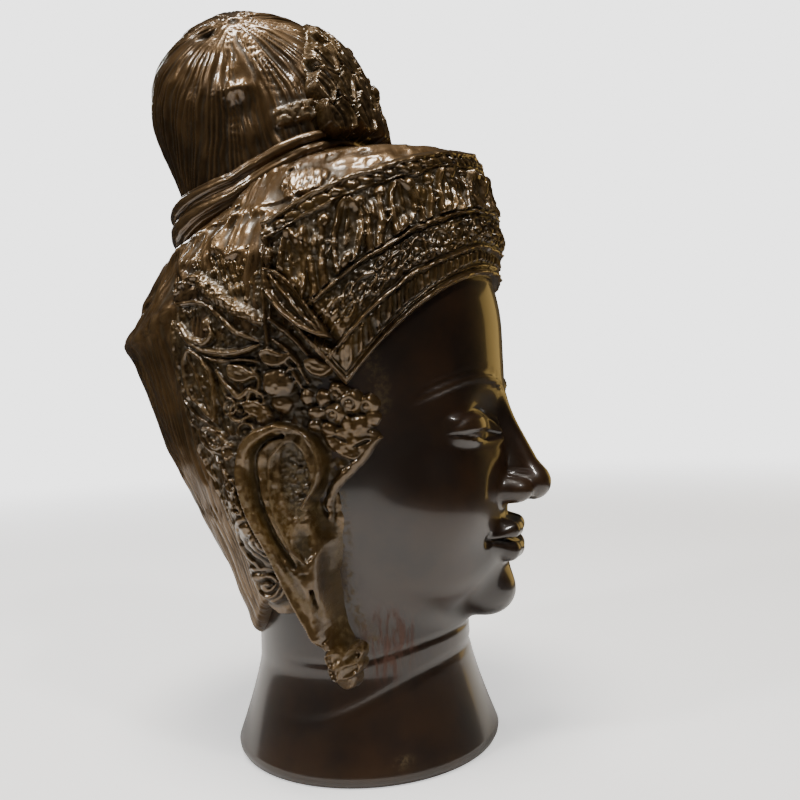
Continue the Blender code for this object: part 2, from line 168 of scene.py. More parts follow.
def castRays(gap, origin, direction, reach):    # walks each ray inwards until it meets the form
    shape = origin.shape
    origin, direction = origin.reshape(-1, 3), np.broadcast_to(direction, shape).reshape(-1, 3)
    travel = np.full(len(origin), float(reach))
    moving = np.arange(len(origin))
    for _ in range(rayWalk["steps"]):
        left = gap(origin[moving] + travel[moving, None] * direction[moving])
        travel[moving] = np.maximum(travel[moving] - rayWalk["stride"] * left, 0)
        moving = moving[(np.abs(left) > rayWalk["near"]) & (travel[moving] > 0)]
        if len(moving) == 0:
            break
    return (origin + travel[:, None] * direction).reshape(shape)


# Lines drawn on a surface
bendSteps = 6


def bend(points):    # a smooth run through a few points
    points = np.array(points, float)
    padded = np.vstack([2 * points[0] - points[1], points, 2 * points[-1] - points[-2]])
    run = []
    for a, b, c, d in zip(padded[:-3], padded[1:-2], padded[2:-1], padded[3:]):
        for t in np.arange(bendSteps) / bendSteps:
            run.append(0.5 * (2 * b + (c - a) * t + (2 * a - 5 * b + 4 * c - d) * t ** 2
                              + (3 * b - a - 3 * c + d) * t ** 3))
    return np.array(run + [points[-1]])


def closedBend(points):
    return bend(points + points[:1])[:-1]


def alongLine(u, v, line):    # distance to the line, and share of its length there
    best, share = np.full(np.shape(u), 1e9), np.zeros(np.shape(u))
    lengths = np.hypot(*np.diff(line, axis=0).T)
    runs = np.concatenate([[0], np.cumsum(lengths)]) / lengths.sum()
    for (u0, v0), (u1, v1), low, high in zip(line[:-1], line[1:], runs[:-1], runs[1:]):
        du, dv = u1 - u0, v1 - v0
        t = np.clip(((u - u0) * du + (v - v0) * dv) / (du * du + dv * dv), 0, 1)
        gap = np.hypot(u - u0 - t * du, v - v0 - t * dv)
        closer = gap < best
        best = np.where(closer, gap, best)
        share = np.where(closer, low + (high - low) * t, share)
    return best, share


def stroke(u, v, points, halfWidth, taper=0.25):    # a rounded line that thins towards its ends
    gap, share = alongLine(u, v, bend(points))
    half = halfWidth * (taper + (1 - taper) * np.sin(np.pi * np.clip(share, 0.02, 0.98)) ** 0.5)
    return ridge(gap, half) ** 0.7


def leaf(u, v, spine, halfWidth, dish):    # a pointed leaf with a raised edge and a midrib
    gap, share = alongLine(u, v, bend(spine))
    half = halfWidth * np.sin(np.pi * np.clip(share, 0.001, 0.999) ** 0.75) ** 0.8
    inside = ease(half - gap, -0.6, 0.9)
    edge = ridge(gap - half + 1.3, 1.7)
    rib = ridge(gap, 1.0) * (share < 0.9)
    return inside * (1 - dish + dish * np.maximum(edge, 0.7 * rib))


def insideGap(u, v, outline):    # distance to a closed outline, negative inside
    closed = np.vstack([outline, outline[:1]])
    gap = alongLine(u, v, closed)[0]
    inside = np.zeros(np.shape(u), bool)
    for (u0, v0), (u1, v1) in zip(closed[:-1], closed[1:]):
        crosses = (v0 > v) != (v1 > v)
        inside ^= crosses & (u < (u1 - u0) * (v - v0) / (v1 - v0 + 1e-12) + u0)
    return np.where(inside, -gap, gap)


strandShape = {"perLock": 5, "lockFurrow": 0.55, "uneven": [(0.30, 0.26, 0), (0.35, 0.12, 1)]}


def strands(across, p, seed):    # combed hair, 0 in the furrows to 1; across counts strands
    s = strandShape
    uneven = [wide * np.sin(2 * np.pi * often * across + start) for wide, often, start in s["uneven"]]
    across = across + sum(uneven)
    wander = layers(p, (0.8, 24, seed), (0.22, 7, seed + 1))
    lock = furrows(across / s["perLock"] + 0.35 * lumps(p, 34, seed + 2), s["lockFurrow"])
    worn = 0.85 + 0.35 * lumps(p, 9, seed + 3)
    return 0.6 * furrows(across + wander) * worn + 0.4 * lock


# Grids of points become meshes, with marks that tell the finish where they are hollow or proud
markReach = [("fine", 0.9, 1), ("broad", 2.6, 2)]    # name, reach in parts and least reach in cells


def turnGrid(columns, across):    # once round, by the values given
    return np.meshgrid(np.linspace(-np.pi, np.pi, columns, endpoint=False), across)


def blurGrid(values, cells, wrap):
    for _ in range(2):
        for axis in (0, 1):
            pad = [(0, 0)] * values.ndim
            pad[axis] = (cells + 1, cells)
            total = np.cumsum(np.pad(values, pad, mode="wrap" if wrap and axis else "edge"), axis=axis)
            size = total.shape[axis]
            high = np.take(total, range(2 * cells + 1, size), axis=axis)
            low = np.take(total, range(size - 2 * cells - 1), axis=axis)
            values = (high - low) / (2 * cells + 1)
    return values


def gridNormals(points, wrap, outward):
    alongU = np.roll(points, -1, 1) - np.roll(points, 1, 1) if wrap else np.gradient(points, axis=1)
    normal = np.cross(alongU, np.gradient(points, axis=0))
    normal /= np.maximum(np.linalg.norm(normal, axis=-1, keepdims=True), 1e-9)
    return normal * np.where((normal * outward).sum(-1).mean() < 0, -1, 1)


def gridPiece(name, points, cell, wrap=False, caps=(), mirror=False, keep=None, **marks):
    rows, columns = points.shape[:2]
    if mirror:
        points = points * np.array([-1, 1, 1])
    outward = points - np.array([0, 15, points[..., 2].mean()])
    normal = gridNormals(points, wrap, outward)
    for mark, reach, least in markReach:
        blurred = blurGrid(points, max(least, round(reach / cell)), wrap)
        marks[mark] = ((points - blurred) * normal).sum(-1)
    index = np.arange(rows * columns).reshape(rows, columns)
    right = np.roll(index, -1, axis=1) if wrap else index[:, 1:]
    left = index if wrap else index[:, :-1]
    quads = np.stack([left[:-1], right[:-1], right[1:], left[1:]], -1).reshape(-1, 4)
    corners = points.reshape(-1, 3)[quads]
    facing = np.cross(corners[:, 1] - corners[:, 0], corners[:, 3] - corners[:, 0])
    if (facing * outward.reshape(-1, 3)[quads[:, 0]]).sum() < 0:
        quads = quads[:, ::-1]
    used = index.ravel()
    if keep is not None:    # cells that lie wholly under another piece are left out
        used, quads = np.unique(quads[keep.ravel()[quads].any(axis=1)], return_inverse=True)
        quads = quads.reshape(-1, 4)
    faces = quads.tolist()
    for cap, row in (("low", 0), ("high", -1)):
        if cap in caps:
            faces.append(index[row].tolist())
    mesh = bpy.data.meshes.new(name)
    mesh.from_pydata((points.reshape(-1, 3)[used] * part).tolist(), [], faces)
    for mark, values in marks.items():
        spread = np.ravel(values)[used].astype(np.float32)
        mesh.attributes.new(mark, "FLOAT", "POINT").data.foreach_set("value", spread)
    mesh.validate()
    mesh.shade_smooth()
    piece = bpy.data.objects.new(name, mesh)
    bpy.context.scene.collection.objects.link(piece)
    print(name, len(mesh.vertices), "points", len(mesh.polygons), "faces")
    return piece


# The skin: face, neck and foot. The face is a calm one on the canon of three equal thirds.
skinShape = {
    "chin": 54, "third": 46.5, "eyeSpacing": 25, "neckTop": 105,
    "footRadius": 56.5, "footEdge": 3, "neckRadius": 45.8, "flareHeight": 38,
    "columns": 256, "rows": 270, "frontShare": 0.78, "rowStops": [0, 0.10, 0.19, 0.74, 0.91, 1],
    "rowHeights": [-3, 40, 80, 140, 180, 190], "rowTilts": [0, -2, -22, 0, 20, 45],
    "giltLines": [    # line, half width, taper and share
        ([(-23, 165), (-27, 156), (-29, 141)], 5, 0.6, 0.45),
        ([(-10.8, 110), (-10.8, 99), (-10.2, 91.3), (-9, 80), (-10, 66), (-17, 52)], 4.5, 0.6, 0.8),
    ],
}
canonChin, canonThird = skinShape["chin"], skinShape["third"]
noseBase = canonChin + canonThird
browHeight = noseBase + canonThird
hairline = browHeight + canonThird
mouthHeight = noseBase - canonThird / 3
eyeHeight = browHeight - canonThird * 0.30
eyeX = skinShape["eyeSpacing"]
skull = ((0, 8, 171), (67.5, 73.5, 74))
headForms = [    # centre, radii and blend with the forms before it
    ((0, -7, 123), (58, 60, 72), 12), ((0, -23, 81), (43, 41, 28), 14),
    ((25, -35, 104), (24, 25, 25), 9), ((0, -54, canonChin + 9), (14, 13, 11), 9),
]


def neckOutline(z):
    s = skinShape
    rise = np.clip((z - s["footEdge"]) / (s["flareHeight"] - s["footEdge"]), 0, 1)
    footRoll = 1.2 * (1 - np.clip(z / 3, 0, 1)) ** 2
    flare = (s["footRadius"] - s["neckRadius"]) * (1 - rise) ** 1.25
    return s["neckRadius"] + flare - footRoll - 0.02 * np.clip(z - s["flareHeight"], 0, 60)


def noseForm(q):
    bridge = limb(q, (0, -61, eyeHeight + 8), (0, -75, noseBase + 9), 5, 6.5)
    tip = ellipsoid(q, (0, -76, noseBase + 7), (8, 7.5, 7))
    wing = ellipsoid(q, (8.8, -69, noseBase + 5), (6, 8, 5.5))
    nostril = ellipsoid(q, (4.6, -72, noseBase - 1), (2.6, 4.6, 3))
    return softCut(softJoin(softJoin(bridge, tip, 4), wing, 2), nostril, 1.2)


def lip(q, places, radii):    # one half of a lip, from the middle to the corner
    middle, inner, outer = [(x, y, mouthHeight + rise) for x, y, rise in places]
    return softJoin(limb(q, middle, inner, *radii[:2]), limb(q, inner, outer, *radii[1:]), 3)


def lipsForm(q):
    upper = lip(q, [(0, -67.5, 3.6), (9, -66.8, 4.1), (21.5, -57, 1.4)], (3.9, 3.4, 1.2))
    lower = lip(q, [(0, -66.8, -4.4), (8, -65.8, -4.1), (18.5, -59, -0.6)], (4.7, 4.1, 1.6))
    return softJoin(upper, lower, 1)


def folded(p):    # the head is alike on both sides
    return xyz(np.abs(p[..., 0]), p[..., 1], p[..., 2])


def plainSkinGap(p):
    q = folded(p)
    x, y, z = np.moveaxis(q, -1, 0)
    face = ellipsoid(q, *skull)
    for centre, radii, blend in headForms:
        face = softJoin(face, ellipsoid(q, centre, radii), blend)
    neck = np.maximum(np.hypot(x, y) - neckOutline(z), z - skinShape["neckTop"])
    return softJoin(face, neck, 7)


def skinGap(p):
    q = folded(p)
    x, y, z = np.moveaxis(q, -1, 0)
    face = softCut(plainSkinGap(p), ellipsoid(q, (eyeX, -72, eyeHeight + 2), (17, 13, 10)), 9)
    face = softJoin(face, ellipsoid(q, (eyeX, -46.5, eyeHeight - 1), (16, 14.2, 11)), 2)
    face = softJoin(face, noseForm(q), 5)
    face = softJoin(face, lipsForm(q), 2.2)
    return face - ease(-y, 20, 40) * faceLines(x, z) - neckLines(y, z)


def faceLines(x, z):    # brows, lids and the line of the mouth
    browLine = browHeight - 5.5 + 10.5 * np.sin(np.pi * np.clip((x + 3) / 55, 0, 1)) ** 0.8
    span = window(x, 3.5, 9, 43, 52)
    brow = (1.1 * ridge(z - browLine, 1.9) - 0.45 * ridge(z - browLine - 2.6, 1.2)) * span
    reach = np.clip(1 - ((x - eyeX) / 16.5) ** 2, 0, 1)
    lidEdge = eyeHeight - 3.6 + 2.0 * reach + 0.06 * (x - eyeX)
    lowerEdge = lidEdge - 4.2 * reach ** 0.8
    near = ease(reach, 0.0, 0.18)
    upperLid = 1.1 * window(z - lidEdge, -0.35, 0.3, 4.5, 7.5)
    fold = -0.55 * ridge(z - lidEdge - 7.6 * reach ** 0.5, 1.1)
    lowerLid = 0.8 * window(z - lowerEdge, -5, -1, -0.35, 0.3)
    mouthLine = mouthHeight + 1.8 * (x / 22) ** 2 - 0.7 * np.exp(-(x / 4.5) ** 2)
    mouth = -1.7 * ridge(z - mouthLine, 1.25) * (1 - ease(x, 19.5, 23.5))
    corner = -0.9 * boss(x, z, (22.5, mouthHeight + 2), 3.2) ** 2
    groove = -0.7 * ridge(x, 3) * window(z, mouthHeight + 8, mouthHeight + 10, noseBase - 3, noseBase)
    return brow + (upperLid + fold + lowerLid) * near + mouth + corner + groove


def neckLines(y, z):    # soft creases round the front of the neck
    low = 21 + 19 * ease(-y, -12, 50)
    high = 43 + 6 * ease(-y, 0, 45)
    return (-0.55 * ridge(z - low, 3) - 0.7 * ridge(z - high, 2)) * ease(-y, -25, 10) * (z < 60)


def makeSkin():
    s = skinShape
    across = np.linspace(-1, 1, s["columns"], endpoint=False)
    turn = np.pi * (across - s["frontShare"] * np.sin(np.pi * across) / np.pi)
    v = np.linspace(0, 1, s["rows"])
    tilt = np.radians(np.interp(v, s["rowStops"], s["rowTilts"]))[:, None]
    turn, height = np.meshgrid(turn, np.interp(v, s["rowStops"], s["rowHeights"]))
    level = np.cos(tilt)
    direction = xyz(np.sin(turn) * level, -np.cos(turn) * level, np.sin(tilt))
    points = castRays(skinGap, xyz(0, 4, height), direction, 150)
    points[..., 2] = np.maximum(points[..., 2], 0)
    y, z = points[..., 1], points[..., 2]
    jaw = 1 - ease(np.hypot((y + 22) / 14, (z - 50) / 20), 0.3, 1)    # red brush marks
    gold = 0.8 * (1 - ease(np.hypot(y + 28, (z - 8) * 1.6), 0, 5))    # a worn spot on the foot
    for line, half, taper, share in s["giltLines"]:
        gold = gold + share * stroke(y, z, line, half, taper)
    return gridPiece("head_skin", points, wrap=True, caps=("low", "high"), cell=0.8, red=jaw, gold=gold)


# The hair: a mass whose outline is read by height, with combed strands
hairShape = {
    "centreY": 20,
    "z": [40, 45, 60, 80, 100, 130, 166, 171, 178, 200, 222, 236, 246, 252],
    "back": [41, 44.5, 49, 55.5, 66, 83, 98.4, 99.4, 97.4, 80.5, 66.5, 58, 46, 26],
    "side": [33, 39, 46.5, 55, 62.5, 68, 71.5, 72, 71.5, 69.5, 62, 51, 39, 22],
    "front": [4, 3, 0, -4, -10, -24, -50, -53, -55, -60, -62, -60, -52, -14],
    "rollY": [12, 18, 27, 39, 52, 64, 76, 103], "rollZ": [172, 177.6, 184, 189, 182.5, 176, 171.5, 174],
    "hem": ([-1, -0.75, -0.5, -0.28, 0.1, 0.3, 1], [44, 46, 52, 61, 71, 80, 95]),    # height by cosine
    "slope": ([-25, 5, 35, 60], [0, 3, 13, 14]),    # how far the crown falls, by y
    "strands": 150, "depth": 1.6, "columns": 460, "rows": 188,
    "looseLocks": [[(33.9, 216.4), (39.7, 210), (44.5, 202.5), (45.9, 196.7), (40.6, 191.3)],
                   [(23, 218.2), (27.7, 210.8), (29.1, 204.1), (25, 199.8), (19.6, 201.3)],
                   [(41.9, 210.2), (46.6, 203.7), (49.2, 197), (48.9, 192)]],
    "hollow": (28.5, 198.5), "hollowRadius": 4.2, "bladePitch": 2.7,
    "fan": [(7, 234), (5.6, 227), (2, 222.6), (-3, 221.8), (-8.5, 225.2), (-11, 233), (-2, 236)],
    "fanRim": [(7.5, 232), (6.2, 226), (2.3, 221.4), (-3.3, 220.4), (-9.5, 224.2), (-12, 229)],
    "tuck": [(0.5, 2.5), (0.78, 1.6), (0.92, 0.2), (0.965, 0), (0.99, 0)],    # share and lift, row by row
}


def hairReach(z, forward):
    h = hairShape
    front = h["centreY"] - np.interp(z, h["z"], h["front"])
    return np.where(forward, front, np.interp(z, h["z"], h["back"]) - h["centreY"])


def hairSurface(turn, z):
    x = np.interp(z, hairShape["z"], hairShape["side"]) * np.sin(turn)
    y = hairShape["centreY"] - hairReach(z, np.cos(turn) > 0) * np.cos(turn)
    return xyz(x, y, z)


def makeHair():
    h = hairShape
    turn, v = turnGrid(h["columns"], np.linspace(0, 1, h["rows"]))
    low = np.interp(np.cos(turn), *h["hem"])
    z = low + (h["z"][-1] - low) * v
    base = hairSurface(turn, z)
    x, y = base[..., 0], base[..., 1]
    path = np.interp(y, h["rollY"], h["rollZ"])
    onRoll = ridge(z - path, 7.5) * ease(y, 10, 20) * (1 - 0.6 * ease(y, 80, 97))
    onCrown = ease(z, 214, 226) * (1 - ease(y, -22, -4))
    grains = pebbles(y + 40 * turn, z, 2.4, 4) * 0.9 + 0.7 * lumps(base, 5, 8)
    combed = strands(h["strands"] * turn / (2 * np.pi), base, 11)
    pits = -2.0 * ridge(lumps(base, 7, 21) - 0.8, 0.25) * (z > 175)
    deep = 1.2 + 0.5 * (1 - ease(z, 90, 150))
    proud = h["depth"] * deep * (combed - 0.85) * (1 - 0.55 * np.maximum(onRoll, 1.3 * onCrown))
    proud += onRoll * (1.2 + 1.2 * grains) + onCrown * (0.5 + 0.9 * grains) + pits
    proud += 0.8 * lumps(base, 14, 5) + layers(base, (0.6, 5.5, 6), (1.9, 9, 13)) * ease(z, 175, 195)
    slope = ease(z, 203, 236) * np.interp(y, *h["slope"]) * ease(np.abs(x), 14, 38)
    fallen = z - slope    # the crown falls back towards the foot of the topknot
    loose = np.maximum.reduce([stroke(y, fallen, line, 2.8, 0.5) for line in h["looseLocks"]])
    proud += 2.0 * loose - 2.4 * boss(y, fallen, h["hollow"], h["hollowRadius"])
    backRoll = ridge(z - path, 9) * ease(y, 76, 92)
    proud = proud * (1 - 0.75 * backRoll) + backRoll * (1.4 + layers(base, (0.9, 7, 14), (0.4, 2.6, 15)))
    fan = ease(-insideGap(y, fallen, np.array(h["fan"])), -0.5, 1.5)
    blades = furrows((y - 0.3 * (fallen - 220)) / h["bladePitch"])
    proud = proud * (1 - fan) + fan * (2.4 * blades + 0.9 * lumps(base, 4, 12))
    proud += 2.4 * stroke(y, fallen, h["fanRim"], 1.9, 0.8)
    grow = 1 + proud / np.maximum(np.hypot(x, y - h["centreY"]), 8)
    points = xyz(x * grow, h["centreY"] + (y - h["centreY"]) * grow, z - slope)
    for row, (share, lift) in enumerate(h["tuck"]):    # the lower edge turns in under the hair
        points[row, :, 0] *= share
        points[row, :, 1] = h["centreY"] + (points[row, :, 1] - h["centreY"]) * share
        points[row, :, 2] += lift
    return gridPiece("hair_mass", points, wrap=True, caps=("high",), cell=1.0, gold=0.35 * backRoll)


# The topknot: strands run down from a whorl on each side
knotShape = {
    "centre": np.array([0, 32.5, 238]), "tilt": math.radians(14), "radius": 47.5, "waist": 0.86,
    "rise": 83, "widest": 42, "narrow": 0.92, "strands": 100, "depth": 2.1,
    "whorl": (-1.21, 64.3), "columns": 370, "rows": 190,
    "dents": [    # turn, rise, half width, half height and how proud
        (-1.37, 32, 0.13, 3, 3.0), (-1.37, 24, 0.13, 6, -2.2), (-1.51, 61, 0.10, 2.0, -3.4),
    ],
}


def onKnot(turn, radius, rise):
    k = knotShape
    aside = radius * np.sin(turn) * k["narrow"]
    ahead = radius * np.cos(turn)
    y = -ahead * math.cos(k["tilt"]) + rise * math.sin(k["tilt"])
    z = ahead * math.sin(k["tilt"]) + rise * math.cos(k["tilt"])
    return k["centre"] + xyz(aside, y, z)


def knotRadius(rise):
    k = knotShape
    swell = k["waist"] + (1 - k["waist"]) * np.sin(np.clip(rise / k["widest"], 0, 1) * math.pi / 2)
    climb = np.clip((rise - k["widest"]) / (k["rise"] - k["widest"]), 0, 1)
    return k["radius"] * swell * np.sqrt(1 - climb ** 2)


def whorlAngle(p):    # angle and nearness round the whorl, seen from the middle of the topknot
    middle = knotShape["centre"] + np.array([0, 8, 34])
    whorlTurn, whorlRise = knotShape["whorl"]
    pole = onKnot(np.array(whorlTurn), knotRadius(whorlRise), whorlRise) - middle
    pole /= np.linalg.norm(pole)
    sideways = np.cross(pole, [0, 1, 0])
    sideways /= np.linalg.norm(sideways)
    outward = p - middle
    outward[..., 0] = -np.abs(outward[..., 0])    # combed alike on both sides
    outward /= np.linalg.norm(outward, axis=-1, keepdims=True)
    angle = np.arctan2(outward @ sideways, outward @ np.cross(pole, sideways))
    return angle, np.arccos(np.clip(outward @ pole, -1, 1))


def makeTopknot():
    k = knotShape
    turn, v = turnGrid(k["columns"], np.linspace(0, 1, k["rows"]))
    rise = -8 + (k["rise"] + 8) * np.sin(v * math.pi / 2)
    base = onKnot(turn, knotRadius(rise), rise)
    angle, away = whorlAngle(base)
    across = k["strands"] * angle / (2 * np.pi)
    sway = 2.4 * np.sin(away * 1.9) * np.cos(angle)
    near = strands(0.5 * (across + sway), base, 33)    # half as many strands at the whorl
    combed = near + (strands(across + sway, base, 31) - near) * ease(away, 0.55, 0.95)
    proud = k["depth"] * (1.1 + 0.5 * lumps(base, 16, 38)) * (combed - 0.85) * ease(away, 0.02, 0.16)
    proud += layers(base, (0.8, 18, 36), (0.35, 5, 37)) - 1.8 * ridge(away, 0.07)
    for dentTurn, dentRise, wide, tall, height in k["dents"]:
        proud += height * np.exp(-((turn - dentTurn) / wide) ** 2 - ((rise - dentRise) / tall) ** 2)
    proud -= 2.0 * ease(-np.cos(turn), -0.1, 0.8) * window(rise, 0, 20, 50, 70)
    proud -= 2.4 * ease(np.cos(turn), 0.2, 0.9) * window(rise, 54, 64, 79, 83)
    share = np.clip((np.abs(turn) - 0.5) / 0.6, 0, 1)
    hemRise, hemHalf = 20.6 - 3.4 * share, 4.8 - 1.7 * share
    hem = ease(hemHalf - np.abs(rise - hemRise), -0.6, 0.8) * ease(1.12 - np.abs(turn), 0, 0.06)
    grains = 1.4 + 1.5 * pebbles(turn * 47, rise, 2.0, 3) + 0.6 * lumps(base, 4, 39)
    proud = proud * (1 - hem) + hem * grains
    points = onKnot(turn, knotRadius(rise) + proud * ease(knotRadius(rise), 0, 9), rise)
    # the hem's granules take the lighter gilt colour through the gold mark: part gilt, part painted sheen
    # that stands in for their shine
    return gridPiece("topknot", points, wrap=True, caps=("low",), cell=0.7, gold=hem)


# The leaf crest on the front of the topknot
crestShape = {
    "half": ([4, 12, 38, 54, 66], [32, 34, 33, 23, 12]), "top": 63, "columns": 230, "rows": 176,
    "leaves": [    # place to the side, foot, length, half width and lean
        (0, 6, 22, 8.5, 0), (15, 6, 18, 7.5, 4), (27, 6, 14, 6.5, 5),
        (8, 21, 18, 7.5, 3), (22, 20, 16, 7.0, 5), (32, 20, 12, 5.5, 4),
        (0, 34, 17, 7.5, 0), (14, 34, 15, 7.0, 4), (26, 33, 12, 6.0, 5),
        (7, 46, 14, 6.5, 3), (18, 46, 12, 5.5, 4), (0, 55, 10, 5.5, 0), (10, 56, 8, 4.5, 4),
    ],
}


def crestHeight(side, rise):    # overlapping leaves on either side of a stem, curling out at their tips
    c = crestShape
    half = np.interp(rise, *c["half"])
    cushion = np.clip(1 - (np.abs(side) / (half + 3)) ** 2, 0, 1) ** 0.5
    swayed, climbed = warp(side, rise, (1.8, 9, 53))
    reach = np.abs(swayed)
    carving = flatLayers(side, rise, (0.12, 3, 54))
    for place, foot, long, wide, lean in c["leaves"]:
        spine = bend([(place - 0.4 * lean, foot), (place, foot + 0.45 * long), (place + lean, foot + long)])
        gap, share = alongLine(reach, climbed, spine)
        width = wide * np.sin(np.pi * np.clip(0.1 + 0.82 * share, 0, 1)) ** 0.6
        inside = ease(width - gap, -0.5, 0.9)
        rim = ridge(gap - width + 1.5, 2.1)
        blade = 0.22 + 0.3 * share + 0.5 * dome(gap, width + 0.6) + 0.22 * rim - 0.2 * ridge(gap, 1.0)
        tip = boss(reach, climbed, (place + lean, foot + long), 0.58 * wide)
        blade = np.maximum(inside * blade, 1.25 * tip)
        carving = np.where(inside > 0.3, np.maximum(blade, 0.15 * carving), np.maximum(carving, blade))
    edge = ease(half - np.abs(side) + flatLayers(side, rise, (2.5, 6, 55)), -2, 2)
    edge = edge * window(rise, 5, 8, c["top"] - 5, c["top"])
    return edge * ((9.6 - 0.17 * rise) * cushion + (8.4 - 0.085 * rise) * carving - 0.8) - 3.5 * (edge < 0.02)


def makeCrest():
    c = crestShape
    side, rise = np.meshgrid(np.linspace(-37, 37, c["columns"]), np.linspace(4, c["top"] + 2, c["rows"]))
    height = crestHeight(side, rise)
    height = height + flatLayers(side, rise, (0.3, 1.6, 52)) * (height > 0.5)
    points = onKnot(side / knotShape["radius"], knotRadius(rise) + height, rise)
    return gridPiece("crest_leaves", points, cell=0.42, keep=height > -3, gold=0.3 + 0 * height)


# The cloth band of two rolls at the foot of the topknot
bandShape = {"stops": [0, 0.5, 0.95, 1.3, 1.66, 2.4, np.pi], "columns": 300, "rows": 44}
bandRolls = {    # middle height and half thickness at each stop, and swell at the back
    "band_upper": ([10.4, 9.9, 7.0, 2.8, -0.6, 0.4, 1.4], [1.9, 2.0, 2.3, 2.9, 3.8, 4.0, 4.0], 3.2),
    "band_lower": ([6.4, 5.8, 2.2, -2.4, -7.0, -8.2, -8.4], [2.1, 2.2, 2.7, 3.5, 4.5, 5.6, 6.2], 4.6),
}


def makeBand(name):
    b = bandShape
    middles, halves, backSwell = bandRolls[name]
    turn, across = turnGrid(b["columns"], np.linspace(-1, 1, b["rows"]) * np.pi)
    rise, half = [np.interp(np.abs(turn), b["stops"], values) for values in (middles, halves)]
    fold = ridge(across - 0.5 - 0.35 * np.sin(turn * 2), 0.35)
    fold = fold + ridge(across + 0.75 - 0.3 * np.sin(turn * 3 + 1), 0.3)
    swell = 1 + 0.05 * np.sin(turn * 5) - 0.17 * fold * ease(half, 2.2, 3.6)
    radius = knotRadius(rise) + 0.8 + backSwell * ease(np.abs(turn), 1.7, 2.6)
    radius = radius + (2.2 + 0.5 * half) * np.cos(across) * swell
    climb = rise + half * np.sin(across) * swell
    radius = radius + layers(onKnot(turn, radius, climb), (0.35, 5, 61), (0.2, 1.8, 62))
    return gridPiece(name, onKnot(turn, radius, climb), wrap=True, cell=0.7)


# The diadem, read by its angle from the front and its height
diademShape = {
    "centreY": 12, "end": 87, "tip": 65, "seat": 3.0, "alongPerDegree": 1.31, "drop": 43,
    "flutePitch": 3.4, "ringPitch": 10.5, "leafPitch": 21, "cordPitch": 5.44, "depth": 2.8,
    "columns": 640, "rows": 146,
    "lines": [(10, 75, 2.6), (25, 54, 2.15), (44.5, 35, 1.75), (51.5, 34.5, 1.7)],    # rise, fall, power
}


def diademLow(angle):
    d = diademShape
    turned = np.abs(angle)
    front = hairline - d["drop"] * np.clip(turned / d["tip"], 0, 1) ** 2.5
    backShare = np.clip((turned - d["tip"]) / (d["end"] - d["tip"]), 0, 1)
    return np.where(turned < d["tip"], front, hairline - d["drop"] + 33 * backShare)


def diademLines(angle):    # two ridges, the lower line of the top border and the top edge
    share = np.abs(angle) / diademShape["end"]
    return [hairline + rise - fall * share ** power for rise, fall, power in diademShape["lines"]]


def flutes(along, z, low, high):
    u = within(along, diademShape["flutePitch"])
    inside = window(z, low, low + 1.2, high - 1.2, high)
    return inside * (0.12 + 0.42 * ridge(u, 1.35) * (1 + flatLayers(along, z, (0.6, 6, 73))))


def ringRow(along, z, low, high):    # rosettes of a ring and a bead, with small rings between
    pitch = diademShape["ringPitch"]
    u, shift = within(along, pitch), within(along + pitch / 2, pitch)
    above = z - (low + high) / 2
    wide = np.clip((high - low) / 2 - 1.2, 1.6, 4.8)
    far = np.hypot(u, above)
    petals = 1 + 0.14 * np.cos(5 * np.arctan2(above, u) + along)
    carving = np.maximum(0.75 * ring(far, wide * 0.8 * petals, 1.15), 0.7 * dome(far, wide * 0.4))
    small = np.clip(wide * 0.42, 0.9, 1.9)
    for sign in (-1, 1):
        away = np.hypot(shift, above - sign * (wide - small * 0.6))
        carving = np.maximum(carving, 0.7 * np.maximum(ring(away, small, 0.9), 0.8 * dome(away, 0.8)))
    fill = 0.14 + 0.22 * pebbles(along, z, 2.3, 5) + flatLayers(along, z, (0.08, 3, 74))
    return np.maximum(carving, fill) * window(z, low + 0.2, low + 1, high - 1, high - 0.2)


def leafRow(along, z, low, high):    # a curling leaf with a bud at its foot, and curved stems between
    pitch = diademShape["leafPitch"]
    tall = np.maximum(high - low, 6)
    v = (z - low) / tall
    u = within(along + pitch / 2, pitch) - 1.6 * np.sin(3 * v)
    half = 6.4 * np.sin(np.pi * np.clip(0.10 + 0.86 * v, 0, 1) ** 0.85) ** 0.7
    inside = ease(half - np.abs(u), -0.6, 1.0) * (v > 0.02) * (v < 0.97)
    edge = ridge(np.abs(u) - half + 1.5, 2.2)
    dished = 0.42 * np.maximum(edge, 0.4 * ridge(u, 1.1) * (v > 0.3))
    broad = inside * (0.55 + dished + 0.25 * ease(v, 0.6, 0.95))
    bud = 1.1 * dome(np.hypot(u, (v - 0.12) * tall), 3.0)
    s = np.abs(within(along, pitch) - 0.6 * np.sin(5 * v))
    stems = 0.85 * ridge(s - 1.8 - 3.2 * v ** 2, 2.7) ** 0.7 * (v > 0) * (v < 0.86)
    knobs = 1.1 * dome(np.hypot(s - 4.4, (v - 0.83) * tall), 2.9)
    hook = 0.75 * ridge(np.hypot(s - 3.6, (v - 0.42) * tall) - 2.0, 1.4) * (s > 1.8)
    bead = 0.8 * dome(np.hypot(s, (v - 0.6) * tall / 2.0), 2.2)
    fill = 0.12 + flatLayers(along, z, (0.12, 3.5, 75)) + 0.22 * pebbles(along, z, 3.0, 6)
    return np.maximum.reduce([broad, bud, stems, knobs, hook, bead, fill]) * (v > 0) * (v < 1)


